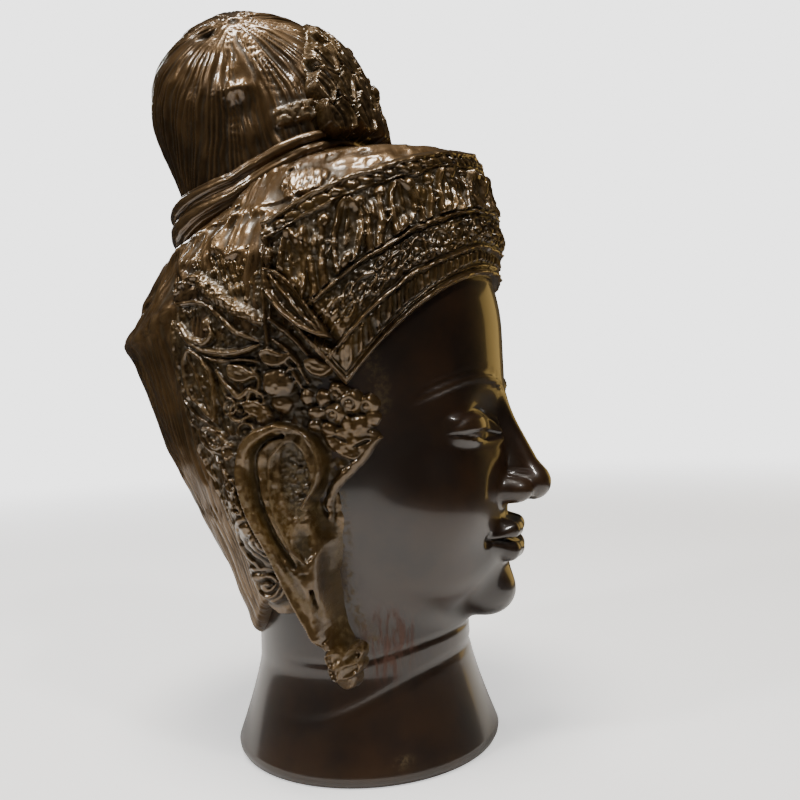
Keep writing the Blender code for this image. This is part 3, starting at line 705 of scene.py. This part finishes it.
def diademRelief(angle, z):
    d = diademShape
    ridge1, ridge2, border, top = diademLines(angle)
    low = diademLow(angle)
    edge = z - low
    along, z = warp(angle * d["alongPerDegree"], z, (1.1, 9, 76), (0.4, 3.5, 78))
    knob = boss(within(along + 0.9 * (z - border), d["cordPitch"]), z - border, (0, 2.2), 1.25 * 2.7, 2.7)
    carving = np.maximum.reduce([
        0.7 * ridge(edge - 1.6, 1.9), 0.4 * ridge(edge - 4.0, 1.0),
        flutes(along, z, low + 4.6, ridge1 - 1.2), 0.75 * ridge(z - ridge1, 1.6),
        0.85 * ringRow(along, z, ridge1 + 1.2, ridge2 - 1.2), 0.9 * ridge(z - ridge2, 1.7),
        1.2 * leafRow(along, z, ridge2 + 1.4, border - 0.6), 0.8 * ridge(z - border, 1.4),
        0.9 * knob, 0.95 * ridge(z - top + 1.5, 2.2), 0.8 * ridge(np.abs(angle) - d["end"] + 1.2, 1.3)])
    worn = 1 + flatLayers(along, z, (0.32, 6, 71), (0.18, 2, 72))
    return carving * worn + flatLayers(along, z, (0.15, 11, 79), (0.09, 1.6, 80))


def makeDiadem():
    d = diademShape
    reach, climb = [np.pad(np.linspace(start, 1, d[count] - 4), 2, mode="edge")
                    for start, count in ((-1, "columns"), (0, "rows"))]
    angle, v = np.meshgrid(reach * d["end"], climb)
    low, top = diademLow(angle), diademLines(angle)[3]
    z = low + (top - low) * v
    turn = np.radians(angle)
    outward, origin = xyz(np.sin(turn), -np.cos(turn), 0), xyz(0, d["centreY"], z)
    skin = castRays(plainSkinGap, origin, outward, 120)
    brow = np.linalg.norm((skin - origin)[..., :2], axis=-1) + d["seat"]
    lean = z - hairline
    crown = 1 / np.hypot(np.sin(turn) / (74.0 - 0.10 * lean), np.cos(turn) / (83 - 0.27 * lean))
    wall = brow + (crown - brow) * ease(v, 0, 0.35)
    wall = wall + d["depth"] * diademRelief(angle, z)
    underLeaf = stroke(d["centreY"] - wall * np.cos(turn), z, leavesOnSide[0][0], 6.5, 0.7)
    wall = wall - 5 * underLeaf
    for outer, inner, depth in ((0, 1, 11), (-1, -2, 13)):    # the edges turn in, doubled to stay crisp
        wall[outer] -= depth
        wall[inner] -= 2
        wall[:, outer] -= 9
        wall[:, inner] -= 2
    points = origin + wall[..., None] * outward
    return gridPiece("diadem", points, cell=0.42, gold=0.2 + 0 * z)


# The side ornament, in parts on the side plane: y runs backwards and z up
sideShape = {
    "columns": 225, "rows": 372, "y": (-40, 57), "z": (33, 207), "sink": 3.0,
    "skinZ": [34, 64, 70, 79, 84, 104, 112, 122, 130, 136, 143, 149, 165, 207],
    "skinY": [60, 60, 12, 6, -8, -10.5, -11, -17, -25, -28, -26, -18, -22, -60],
    "edge": [(8, 207), (-1, 197), (-13, 184), (-24, 169), (-29, 158), (-34, 151), (-39, 134), (-34, 121),
             (-21, 111), (-17, 98), (-16, 84), (-17, 72), (-19, 62), (-21, 50), (-18, 37), (-8, 32), (4, 42),
             (12, 58), (20, 62), (29, 72), (33, 90), (38, 106), (45, 124), (51, 146), (54, 166), (53, 188),
             (46, 205)],
    "roll": [(48, 189), (37.6, 192), (33.5, 188.6), (26.8, 184.2), (19.4, 179.7), (11, 175.4)],
    "comma": [(45, 176), (40, 170.5), (34, 168.6), (30.5, 171), (31.5, 174.6)], "commaHead": (32.8, 175.2),
    "commaHollow": [(37.5, 172.6), (32.8, 170), (27.4, 171.8)],
    "plate": [(-6.6, 133), (-17, 135.4), (-26.5, 132.6), (-25.6, 128.4), (-18, 123.7), (-10, 126.8)],
    "slots": [([(-11, 132.4), (-15.5, 130)], 1.1), ([(-18, 128.6), (-24, 129.6)], 1.0)],
    "button": (-20.6, 135.4), "curls": [(17.5, 93, 14), (21.5, 77, 10)], "petals": (0.5, 2.4, 3.9, 5.4),
}
earShape = {
    "outline": [
        (8, 138.5), (16, 136), (22.5, 131), (24.8, 122), (23.6, 112), (20.1, 101), (13.4, 87.2), (5.7, 71.7),
        (-3.8, 54.6), (-8.3, 42), (-13, 38.5), (-16.5, 44), (-14.5, 52), (-9.4, 62), (-7.8, 74), (-7.2, 84),
        (-8.2, 94), (-4.5, 102), (-2.2, 108), (-6, 114), (-8.2, 122), (-5.5, 130.5), (0, 136),
    ],
    "helix": [(3, 136.5), (9, 136.3), (17.8, 131), (21.4, 122.7), (20.6, 111.8),
              (16, 99), (9.2, 85.3), (1, 70)],
    "groove": [(6, 133.2), (11.5, 132), (16.3, 126.5), (16.9, 116.7), (14.6, 104.9),
               (9.8, 94.1), (3.9, 85.4)],
    "fold": [(6, 130.1), (10.7, 124.4), (11.4, 114.6), (10.0, 104.9), (5.7, 93.2), (0.5, 86.6)],
    "front": [(4.6, 137), (-2.4, 132.5), (-6.0, 123), (-4.2, 114.4), (0.3, 106.7)],
    "bowl": (2.2, 116), "concha": (-0.4, 95), "slit": [(-2.6, 76), (-4.6, 67), (-6.8, 57.5)],
    "shelf": [(2.5, 103), (6.2, 97), (5, 89), (0, 84.5), (-4, 87)],
    "lobeEdge": ([38, 62, 84, 104, 112], [-13, -9, -7, -4, 8]),
    "strokes": [    # name, half width and taper
        ("front", 2.4, 0.6), ("fold", 2.3, 0.6), ("groove", 2.1, 0.4), ("slit", 1.3, 0.9),
        ("shelf", 1.9, 0.7),
    ],
}


def earHeight(y, z):    # height over the ear's plane, share covered and distance to its outline
    e = earShape
    y = y - np.interp(z, [42, 62, 90], [4.6, 2.6, 0])    # the lobe hangs a little back
    z = z + np.interp(z, [38, 70], [1.8, 0])
    gap = insideGap(y, z, closedBend(e["outline"]))
    frontness = (1 - ease(y - np.interp(z, *e["lobeEdge"]), 0, 7)) * (1 - ease(z, 100, 108))
    inside = ease(-gap / (1.5 + 5.5 * frontness), -0.3, 1.0)
    frontness = frontness * ease(z, 55, 70)
    lobe = 1 - ease(z, 76, 90)
    helix = np.clip(1.3 * stroke(y, z, e["helix"], 3.8, 0.85), 0, 1)
    front, fold, groove, slit, shelf = [
        stroke(y, z, e[name], half, taper) for name, half, taper in e["strokes"]]
    bowl = boss(y, z, e["bowl"], 5.6, 15, 0.1)
    rough = pebbles(y, z, 1.7, 9) + flatLayers(y, z, (1, 1.1, 90))
    body = 4.4 - 3.4 * bowl - 2.6 * boss(y, z, e["concha"], 4.6, 8.5, -0.1) - 1.6 * groove
    body = np.maximum.reduce([body, 6.2 * helix, 5.4 * front, 5.4 * fold, 4.6 * shelf])
    body = body - 1.2 * groove * (1 - ease(helix, 0.3, 0.8))
    body = body + 0.6 * rough * bowl + flatLayers(y, z, (0.45, 3, 91))
    crease = boss(y, z, (-2, 68), 4, 18, 0.55)
    band = 5.4 + 0.9 * ridge(gap + 1.8, 1.8) * (1 - frontness) - crease + flatLayers(y, z, (0.4, 3, 92))
    height = body * (1 - lobe) + band * lobe - 4.0 * slit + flatLayers(y, z, (0.10, 1.2, 94), (0.12, 2.6, 95))
    return inside * height, inside, gap


def scroll(y, z, centre, radius, start, hand):    # a small volute with an eye
    dy, dz = y - centre[0], z - centre[1]
    far = np.hypot(dy, dz)
    turn = np.mod(hand * np.arctan2(dz, dy) - start, 2 * np.pi) / (2 * np.pi)
    arm = ridge(far - radius * (0.42 + 0.58 * turn), 1.8)
    return np.maximum(arm * (far < radius + 1.3), 0.9 * dome(far, radius * 0.34)) * (0.75 + 0.25 * turn)


def raised(field, height, shape):    # a form stands up out of whatever lies under it
    return np.maximum(field, (height + 2.5) * shape - 2.5)

ridgesOnSide = [    # line, height and half width
    ([(-27.5, 130.5), (-19.5, 123.4), (-11, 116), (-7, 109.5), (-6, 102)], 2.2, 2.6),
    ([(-9.2, 112), (-9.0, 99), (-8.0, 91.3), (-6.0, 82)], 0.6, 3.4),
    ([(7.0, 176), (3.2, 172.5), (-0.6, 167.7), (-5.2, 162.1)], 2.4, 1.8),
    ([(6.4, 168), (2.2, 163.5), (-1.6, 158), (-4, 152)], 2.3, 1.9),
    ([(4.5, 160), (0.6, 156.5), (-1.5, 150)], 2.1, 1.7),
    ([(47, 184.8), (34.6, 182.4), (27.1, 178), (19.9, 171.3), (12, 167.6)], 2.4, 2.0),
    ([(45.5, 174.5), (39.7, 168.7), (32.9, 165.5), (21, 164.8), (12, 166)], 3.0, 2.2),
    ([(43.1, 168.9), (34.7, 163.7), (27.9, 162.1), (19.9, 161.7), (13, 160)], 2.0, 1.5),
    ([(29.5, 159), (25.5, 153), (21.8, 148.3), (16.7, 150.4), (12, 147.8)], 2.6, 1.9),
    ([(46, 147.8), (41, 141.3), (36, 138.5), (30.9, 136.3)], 1.8, 1.6),
    ([(44, 139), (36, 129), (30, 121), (27, 112)], 1.6, 1.6),
    ([(10.4, 203), (9.4, 188.9), (9.0, 177.4), (8.7, 168), (9.5, 158)], 1.3, 2.2),
    ([(6.0, 196), (6.3, 188), (6.9, 180.4), (6.2, 171.2)], 1.0, 1.0),
    ([(16, 158), (13.5, 153), (14.5, 148)], 2.2, 1.7),
    ([(22, 138), (17, 141), (11, 141.5)], 2.2, 1.7),
    ([(-2, 150), (-6, 147), (-8, 143)], 2.2, 1.6),
    ([(30.5, 124), (27.5, 118.5), (25.5, 112), (22.5, 104), (19.5, 97)], 1.9, 1.7),
]
leavesOnSide = [    # spine, half width and height
    ([(7.5, 193), (0.8, 183.5), (-6.5, 175), (-15.5, 167)], 5.0, 6.8),
    ([(41.5, 167), (38.8, 157), (36, 149), (31.6, 138.6)], 6.8, 3.3),
    ([(46.5, 153.5), (42, 150), (37.5, 146.6)], 2.6, 2.6),
    ([(41.5, 136), (32.1, 131), (23.5, 125.5)], 4.2, 1.7),
    ([(24, 160), (20, 156), (14, 154.5)], 3.0, 2.6),
    ([(12, 163), (5, 160.5), (0, 162.5)], 3.0, 2.8),
    ([(-4, 160), (-9, 157), (-14.5, 158)], 3.0, 2.6),
    ([(20, 147), (15, 143), (9, 139.5)], 2.8, 2.2),
]
beadsOnSide = [    # y, z, radius and height
    (6.4, 151.8, 5.4, 3.8), (6.0, 144.6, 3.4, 2.8), (-12.3, 140.8, 3.6, 4.0), (-18.6, 144.6, 4.0, 4.2),
    (-24.6, 143.0, 3.2, 3.2), (-25.2, 138.0, 2.6, 2.6), (-9.4, 134.8, 2.5, 3.2), (-6.0, 141.2, 2.8, 3.4),
    (-5.0, 136.4, 2.4, 3.0), (-14.2, 148.6, 3.3, 3.4), (-8.8, 146.6, 2.9, 3.2), (-3.0, 146.4, 2.6, 3.0),
    (-16.2, 136.8, 2.4, 3.0), (12.6, 139.2, 2.4, 2.4),
]
scrollsOnSide = [    # centre, radius, start and hand
    ((32.1, 133.4), 5.0, 0.4, 1), ((21.5, 143.2), 4.6, 2.0, -1), ((14.5, 146.5), 3.8, 1.0, 1),
    ((20, 134.5), 4.0, 4.0, 1), ((26, 144.5), 3.8, 5.0, -1), ((27, 127.5), 3.2, 2.5, 1),
    ((-6.4, 184.4), 3.4, 3.0, 1), ((-12, 163.0), 3.4, 0.0, -1), ((27.2, 115.6), 3.0, 4.4, -1),
    ((24.4, 107.2), 2.8, 1.0, 1), ((21.2, 99.6), 2.6, 4.0, -1), ((0.6, 154), 3.0, 2.0, 1),
]


def napeCurls(y, z):    # wavy locks curled in on themselves at the end of the hair
    height = -2.5 + 0 * y
    v, w = warp(y, z, (1.8, 7, 93))
    for centreY, centreZ, size in sideShape["curls"]:
        far = np.hypot((v - centreY) * 0.85, w - centreZ)
        waves = furrows(far / 3.0 + 0.1 * np.arctan2(w - centreZ, v - centreY))
        height = np.maximum(height, (1.9 * waves + 2.9) * (1 - ease(far, size - 4, size)) - 2.5)
    return height


def beads(field, y, z):    # soft berries, the larger ones dented
    for beadY, beadZ, radius, height in beadsOnSide:
        aside, above = y - beadY, z - beadZ
        away = np.hypot(aside, above) * (1 + 0.03 * np.cos(5 * np.arctan2(above, aside) + beadY))
        dent = ridge(np.hypot(aside - 0.9, above + 0.8) - 0.45 * radius, 0.9) * (radius > 3 and beadY < 0)
        field = raised(field, height, dome(away, radius + 0.6) ** 0.6 - 0.16 * dent)
    return field


def pendant(y, z):    # a small flower on the lobe, with a tip below it
    aside, above = y + 8.2, z - 47.6
    height = 7.6 * dome(np.hypot(aside, above), 2.0) ** 0.5
    for turn in sideShape["petals"]:
        away = np.hypot(aside + 3.4 * math.cos(turn), above - 3.6 * math.sin(turn))
        height = np.maximum(height, ease(3.9 - away, 0, 1.2) * (7.4 - 2.6 * dome(away, 2.4)))
    return np.maximum(height, 6.0 * ease(3.6 - np.hypot((y + 8.6) * 0.9, (z - 39.8) * 0.7), 0, 1.5))


def sideCarving(plainY, plainZ):    # height, share covered by the ear and distance to its outline
    s = sideShape
    y, z = warp(plainY, plainZ, (0.8, 9, 86), (0.35, 3.2, 88))
    skinEdge = np.interp(plainZ, s["skinZ"], s["skinY"])
    onSkin = 1 - ease(plainY, skinEdge - 3, skinEdge + 3)
    hair = strands((y - 0.32 * z) / 2.3, xyz(y, z * 0.4, 0), 84)
    combed = np.maximum((1 - ease(z, 150, 165)) * ease(y, 20, 30), ease(z, 172, 180) * ease(y, 11, 16))
    field = flatLayers(y, z, (0.5, 6, 82), (0.35, 2.4, 83)) + 1.6 * (hair - 0.6) * combed - 2.2 * onSkin
    inner = ease(plainZ, 134, 140) * (1 - ease(plainY, 18, 26)) * (1 - onSkin)
    field = field + inner * (0.7 * pebbles(y, z, 2.6, 85) - 0.7)
    for line, height, half in ridgesOnSide:
        field = raised(field, 0.9 * height, stroke(y, z, line, 1.35 * half))
    for spine, half, height in leavesOnSide:
        field = raised(field, height, leaf(y, z, spine, half + 0.6, 0.22 if half > 4 else 0.08))
    for centre, radius, start, hand in scrollsOnSide:
        field = raised(field, 2.5, scroll(y, z, centre, radius, start, hand))
    grains = 2.4 + 1.3 * pebbles(y, z, 2.2, 6) + flatLayers(y, z, (0.9, 3, 87))
    field = raised(field, grains, stroke(y, z, s["roll"], 5.6, 0.5))
    field = np.where(plainZ < 110, np.maximum(field, napeCurls(y, z)), field)
    comma = np.maximum(stroke(y, z, s["comma"], 3.0, 0.5), boss(y, z, s["commaHead"], 3.4))
    field = raised(field - 2.2 * stroke(y, z, s["commaHollow"], 2.4), 2.6, comma)
    plate = insideGap(y, z, closedBend(s["plate"]))
    slots = np.maximum.reduce([stroke(y, z, line, half) for line, half in s["slots"]])
    field = np.where(plate < 0.6, np.maximum(field, 1.9 * ease(-plate, -0.6, 0.8)) - 1.4 * slots, field)
    field = raised(field, 3.0, boss(y, z, s["button"], 4.9) ** 0.6)
    ear, covered, earGap = earHeight(plainY, plainZ)
    field = beads(field * (1 - covered) + ear, y, z)
    rough = flatLayers(y, z, (0.45, 2.3, 96), (0.25, 1.2, 97))
    field = field + rough * (1 - covered) * (1 - 0.7 * onSkin)
    hanging = pendant(y, z)
    return np.where(hanging > 0, np.maximum(field, hanging), field), covered, earGap


def sideBase(y, z):    # the plain side of the head, skin or hair
    reach = hairReach(z, y < hairShape["centreY"])
    inward = np.sqrt(np.clip(1 - ((y - hairShape["centreY"]) / reach) ** 2, 0, 1))
    hairX = np.interp(z, hairShape["z"], hairShape["side"]) * inward * (z > 62)
    skin = castRays(plainSkinGap, xyz(0, y, z), (1.0, 0, 0), 120)
    return -softJoin(-hairX, -skin[..., 0], 3)


giltOnSide = [    # line, half width, taper and share
    (earShape["helix"][4:], 3.4, 1, 1), (earShape["fold"], 3, 0.8, 1),
    ([(-10.8, 110), (-9, 84)], 3.5, 1, 1), ([(0, 74), (-8, 56)], 3, 0.8, 0.8),
]


def goldOnSide(y, z, covered):
    spots = [share * stroke(y, z, line, half, taper) for line, half, taper, share in giltOnSide]
    spots += [boss(y, z, (2, 112), 8, 22), 0.7 * boss(y, z, (-12.4, 50.4), 9),
              covered * (0.12 + 0.36 * ease(z, 78, 96)),
              0.45 * (1 - ease(np.abs(z - 160), 20, 40)) * ease(y, 0, 20)]
    return np.maximum.reduce(spots)


def sidePoints():
    s = sideShape
    y, z = np.meshgrid(np.linspace(*s["y"], s["columns"]), np.linspace(*s["z"], s["rows"]))
    field, covered, earGap = sideCarving(y, z)
    gap = insideGap(y, z, closedBend(s["edge"]))
    shown = ease(-gap, -0.5, 4.5)
    base = sideBase(y, z)
    plane = 60.5 + 0.22 * (y + 8) - 0.0007 * (120 - z) ** 2    # the ear lies on it
    skirt = (1 - ease(earGap, 0, 11)) * ease(y, -4, 8) * ease(z, 84, 96)    # the hair swells to meet it
    skirt = skirt * np.maximum(plane + 1.5 - base, 0) * (1 - covered)
    base = base + np.maximum(covered * np.maximum(plane - base, 0), skirt)
    height = (field + 0.25) * shown - s["sink"] * (1 - shown)
    return xyz(base + height, y, z), goldOnSide(y, z, covered), gap < 0.3


# Finishes. Groups give colours, masks and heights; each material has its own shader.
def addGroup(name, inputs, outputs):
    group = bpy.data.node_groups.new(name, "ShaderNodeTree")
    for label, kind, value in inputs:
        socket = group.interface.new_socket(label, in_out="INPUT", socket_type=kind)
        socket.default_value = value
    for label, kind in outputs:
        group.interface.new_socket(label, in_out="OUTPUT", socket_type=kind)
    start, end = group.nodes.new("NodeGroupInput"), group.nodes.new("NodeGroupOutput")
    return group, start, end


def addNode(tree, kind, settings=(), **values):
    node = tree.nodes.new(kind)
    for key, value in dict(settings).items():
        setattr(node, key, value)
    for key, value in values.items():
        node.inputs[key.replace("_", " ")].default_value = value
    return node


def addNoise(tree, coordinate, scale, detail, roughness=0.55):
    node = addNode(tree, "ShaderNodeTexNoise", Scale=scale, Detail=detail, Roughness=roughness)
    tree.links.new(coordinate, node.inputs["Vector"])
    return node.outputs["Fac"]


def addRange(tree, value, low, high, toLow=0.0, toHigh=1.0):
    node = addNode(tree, "ShaderNodeMapRange", {"interpolation_type": "SMOOTHSTEP"})
    for index, number in ((1, low), (2, high), (3, toLow), (4, toHigh)):
        node.inputs[index].default_value = number
    tree.links.new(value, node.inputs[0])
    return node.outputs[0]


def addMath(tree, operation, first, second):
    node = addNode(tree, "ShaderNodeMath", {"operation": operation})
    for index, value in enumerate((first, second)):
        if isinstance(value, (int, float)):
            node.inputs[index].default_value = value
        else:
            tree.links.new(value, node.inputs[index])
    return node.outputs[0]


def addMix(tree, share, first, second):
    node = addNode(tree, "ShaderNodeMix", {"data_type": "RGBA"})
    tree.links.new(share, node.inputs[0])
    for socket, value in ((node.inputs[6], first), (node.inputs[7], second)):
        if isinstance(value, tuple):
            socket.default_value = value
        else:
            tree.links.new(value, socket)
    return node.outputs[2]


def addTimes(tree, first, second):
    return addMath(tree, "MULTIPLY", first, second)


def addSum(tree, first, second):
    return addMath(tree, "ADD", first, second)


patinaLook = {
    "floats": {"Fine": 0.0, "Broad": 0.0, "Rubbed": 1.0, "Dust": 1.0, "Gold": 0.0, "Red": 0.0},
    "colours": {"Dark": (0.012, 0.007, 0.005, 1), "Brown": (0.07, 0.034, 0.015, 1),
                "Bright": (0.165, 0.100, 0.042, 1), "Dirt": (0.030, 0.020, 0.005, 1),
                "Gilt": (0.150, 0.105, 0.045, 1), "Rust": (0.105, 0.040, 0.022, 1)},
    "cloudScale": 38, "mottleScale": 420, "brushScale": (420, 420, 75), "giltShare": 0.75, "rustShare": 0.7,
}


def patinaGroup():
    look = patinaLook
    inputs = [(label, "NodeSocketFloat", value) for label, value in look["floats"].items()]
    inputs += [(label, "NodeSocketColor", value) for label, value in look["colours"].items()]
    outputs = [("Color", "NodeSocketColor"), ("Dusty", "NodeSocketFloat")]
    group, start, end = addGroup("castPatina", inputs, outputs)
    given = start.outputs
    spot = group.nodes.new("ShaderNodeTexCoord").outputs["Object"]
    cloud = addRange(group, addNoise(group, spot, look["cloudScale"], 4), 0.36, 0.66)
    mottle = addNoise(group, spot, look["mottleScale"], 5, 0.65)
    proud = addTimes(group, addSum(group, given["Fine"], given["Broad"]), 0.65)
    worn = addRange(group, addSum(group, proud, addTimes(group, mottle, 0.25)), 0.22, 0.62)
    worn = addTimes(group, worn, given["Rubbed"])
    hollow = addSum(group, given["Broad"], addTimes(group, mottle, -0.35))
    dusty = addTimes(group, addRange(group, hollow, -0.02, -0.62), given["Dust"])
    brush = addNode(group, "ShaderNodeVectorMath", {"operation": "MULTIPLY"})    # drawn downwards
    group.links.new(spot, brush.inputs[0])
    brush.inputs[1].default_value = look["brushScale"]
    strokes = addRange(group, addNoise(group, brush.outputs["Vector"], 1, 5), 0.42, 0.62)
    brushed = addTimes(group, given["Red"], strokes)
    # gilt where the gold mark lies; on the topknot's hem this lighter colour is also a painted sheen
    gilt = addTimes(group, given["Gold"], addRange(group, mottle, 0.40, 0.66))
    colour = addMix(group, cloud, given["Dark"], given["Brown"])
    gilded, rusty = addTimes(group, gilt, look["giltShare"]), addTimes(group, brushed, look["rustShare"])
    for share, label in ((worn, "Bright"), (dusty, "Dirt"), (gilded, "Gilt"), (rusty, "Rust")):
        colour = addMix(group, share, colour, given[label])
    matt = addMath(group, "MAXIMUM", addTimes(group, gilt, 1.5), brushed)
    group.links.new(colour, end.inputs["Color"])
    group.links.new(addMath(group, "MAXIMUM", dusty, matt), end.inputs["Dusty"])
    return group


def grainGroup():
    inputs, outputs = [("Size", "NodeSocketFloat", 1.0)], [("Height", "NodeSocketFloat")]
    group, start, end = addGroup("castGrain", inputs, outputs)
    spot = group.nodes.new("ShaderNodeTexCoord").outputs["Object"]
    fine = addTimes(group, addNoise(group, spot, 1500, 4, 0.6), 0.35)
    coarse = addTimes(group, addNoise(group, spot, 330, 4, 0.6), 0.65)
    pits = addTimes(group, addRange(group, addNoise(group, spot, 620, 2, 0.5), 0.30, 0.42), 0.5)
    total = addTimes(group, addSum(group, addSum(group, fine, coarse), pits), start.outputs["Size"])
    group.links.new(total, end.inputs["Height"])
    return group


finishes = {
    "satinSkin": {
        "dark": (0.0105, 0.0038, 0.0008, 1), "brown": (0.026, 0.0102, 0.0024, 1), "rubbed": 0.05, "dust": 0.1,
        "metallic": 0.0, "roughness": (0.38, 0.55), "coat": 0.7, "grain": 0.10, "bump": 0.03},
    "combedHair": {
        "dark": (0.050, 0.0255, 0.006, 1), "brown": (0.142, 0.077, 0.025, 1), "rubbed": 0.7, "dust": 0.7,
        "metallic": 0.55, "roughness": (0.34, 0.6), "coat": 0.9, "grain": 0.6, "bump": 0.25},
    "carvedBronze": {
        "dark": (0.040, 0.021, 0.004, 1), "brown": (0.116, 0.064, 0.015, 1), "rubbed": 0.5, "dust": 0.6,
        "metallic": 0.6, "roughness": (0.30, 0.6), "coat": 0.85, "grain": 0.5, "bump": 0.3},
}


def makeFinish(name, patina, grain):
    f = finishes[name]
    material = bpy.data.materials.new(name)
    material.use_nodes = True
    tree = material.node_tree
    shader = tree.nodes["Principled BSDF"]
    shader.inputs["Coat Roughness"].default_value = 0.10
    group = addNode(tree, "ShaderNodeGroup", {"node_tree": patina})
    for label in ("Rubbed", "Dust", "Dark", "Brown"):
        group.inputs[label].default_value = f[label.lower()]
    for label in ("Fine", "Broad", "Gold", "Red"):    # marks on the mesh
        source = addNode(tree, "ShaderNodeAttribute", {"attribute_name": label.lower()})
        tree.links.new(source.outputs["Fac"], group.inputs[label])
    tree.links.new(group.outputs["Color"], shader.inputs["Base Color"])
    for label, reach, clean, dull in (("Roughness", 1, *f["roughness"]), ("Metallic", 1, f["metallic"], 0.05),
                                      ("Coat Weight", 0.8, f["coat"], 0.15)):
        value = addRange(tree, group.outputs["Dusty"], 0, reach, clean, dull)
        tree.links.new(value, shader.inputs[label])
    cast = addNode(tree, "ShaderNodeGroup", {"node_tree": grain}, Size=f["grain"])
    bump = addNode(tree, "ShaderNodeBump", Strength=f["bump"], Distance=0.0006)
    tree.links.new(cast.outputs["Height"], bump.inputs["Height"])
    tree.links.new(bump.outputs["Normal"], shader.inputs["Normal"])
    return material


patina, grain = patinaGroup(), grainGroup()
materials = {name: makeFinish(name, patina, grain) for name in finishes}
print("finishes made")


def dress(piece, finish):
    piece.data.materials.append(materials[finish])
    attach(piece, "root")
    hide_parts("buddha_head")


dress(makeSkin(), "satinSkin")
dress(makeHair(), "combedHair")
dress(makeTopknot(), "combedHair")
dress(makeCrest(), "carvedBronze")
for bandName in bandRolls:
    dress(makeBand(bandName), "combedHair")
dress(makeDiadem(), "carvedBronze")
points, gold, keep = sidePoints()
for sideName, mirror in (("side_left", False), ("side_right", True)):
    dress(gridPiece(sideName, points, cell=0.42, mirror=mirror, keep=keep, gold=gold), "carvedBronze")
print("pieces dressed")


# Floor, camera and light
cameraPlace = {"azimuth": math.radians(-75), "roll": math.radians(-2.6), "distance": cadHigh.z / 0.904,
               "aside": 0.0555, "height": 0.4076, "lens": 36}
up = Vector((0, 0, 1))
back = Vector((math.sin(cameraPlace["azimuth"]), -math.cos(cameraPlace["azimuth"]), 0))
level = (-back).cross(up)
rollCos, rollSin = math.cos(cameraPlace["roll"]), math.sin(cameraPlace["roll"])
camera = bpy.data.objects.new("camera", bpy.data.cameras.new("camera"))
camera.data.lens = cameraPlace["lens"]
camera.data.clip_start = 0.01
cameraAxes = Matrix((rollCos * level + rollSin * up, rollCos * up - rollSin * level, back))
camera.matrix_world = cameraAxes.transposed().to_4x4()
cameraSpot = back + level * cameraPlace["aside"] + up * cameraPlace["height"]
camera.matrix_world.translation = cameraPlace["distance"] * cameraSpot
bpy.context.scene.collection.objects.link(camera)
bpy.context.scene.camera = camera

floorShape = {"radius": 1.5, "fadeFrom": 0.5, "pale": 0.9, "roughness": 0.8, "glow": 0.8, "table": 0.36,
              "drop": -0.0003}
bpy.ops.mesh.primitive_circle_add(vertices=96, radius=floorShape["radius"], fill_type="NGON",
                                  location=(0, 0, floorShape["drop"]))
floor = bpy.context.object
floor.name = "pale_floor"
floorFinish = bpy.data.materials.new("paleFloor")
floorFinish.use_nodes = True
tree = floorFinish.node_tree
paint = tree.nodes["Principled BSDF"].inputs
paint["Base Color"].default_value = (floorShape["pale"],) * 3 + (1,)
paint["Roughness"].default_value = floorShape["roughness"]
paint["Emission Color"].default_value = (1, 1, 1, 1)
spread = addNode(tree, "ShaderNodeVectorMath", {"operation": "LENGTH"})
tree.links.new(tree.nodes.new("ShaderNodeTexCoord").outputs["Object"], spread.inputs[0])
straight = tree.nodes.new("ShaderNodeLightPath").outputs["Is Camera Ray"]
tree.links.new(addRange(tree, straight, 0, 1, 0, floorShape["glow"]), paint["Emission Strength"])
wide = addRange(tree, spread.outputs["Value"], floorShape["fadeFrom"], floorShape["radius"], 1, 0)
table = addRange(tree, spread.outputs["Value"], floorShape["table"] * 0.85, floorShape["table"] * 1.15, 1, 0)
fade = addMath(tree, "MAXIMUM", addTimes(tree, straight, wide), table)    # past it, only the camera sees it
tree.links.new(fade, paint["Alpha"])
floor.data.materials.append(floorFinish)

lamps = {    # along level, back and up from the middle of the head, size, power and colour
    "overhead": ((-0.10, 0.25, 1.4), 0.45, 25, (1, 0.95, 0.87)),
    "upperLeft": ((-0.8, 0.5, 0.75), 0.12, 5, (1, 0.97, 0.93)),
    "upperRight": ((0.5, 0.7, 0.9), 0.12, 5, (1, 0.97, 0.93)),
    "warmRight": ((0.9, -0.75, 0.05), 0.6, 1.3, (1, 0.66, 0.2)),
    "behind": ((-0.5, -0.9, 0.6), 0.3, 4, (1, 1, 1)),
}
middle = Vector((0, 0.01, 0.17))
for name, (place, size, power, colour) in lamps.items():
    lamp = bpy.data.objects.new(name, bpy.data.lights.new(name, "AREA"))
    lamp.data.size, lamp.data.energy, lamp.data.color = size, power, colour
    lamp.location = middle + level * place[0] + back * place[1] + up * place[2]
    lamp.rotation_euler = (middle - lamp.location).to_track_quat("-Z", "Y").to_euler()
    bpy.context.scene.collection.objects.link(lamp)

world = bpy.data.worlds.new("studio")
world.use_nodes = True
bpy.context.scene.world = world
room = world.node_tree
room.nodes["Background"].inputs["Color"].default_value = (1, 1, 1, 1)
seen = room.nodes.new("ShaderNodeLightPath").outputs["Is Camera Ray"]
room.links.new(addRange(room, seen, 0, 1, 0.03, 3.0), room.nodes["Background"].inputs["Strength"])
print("stage set")
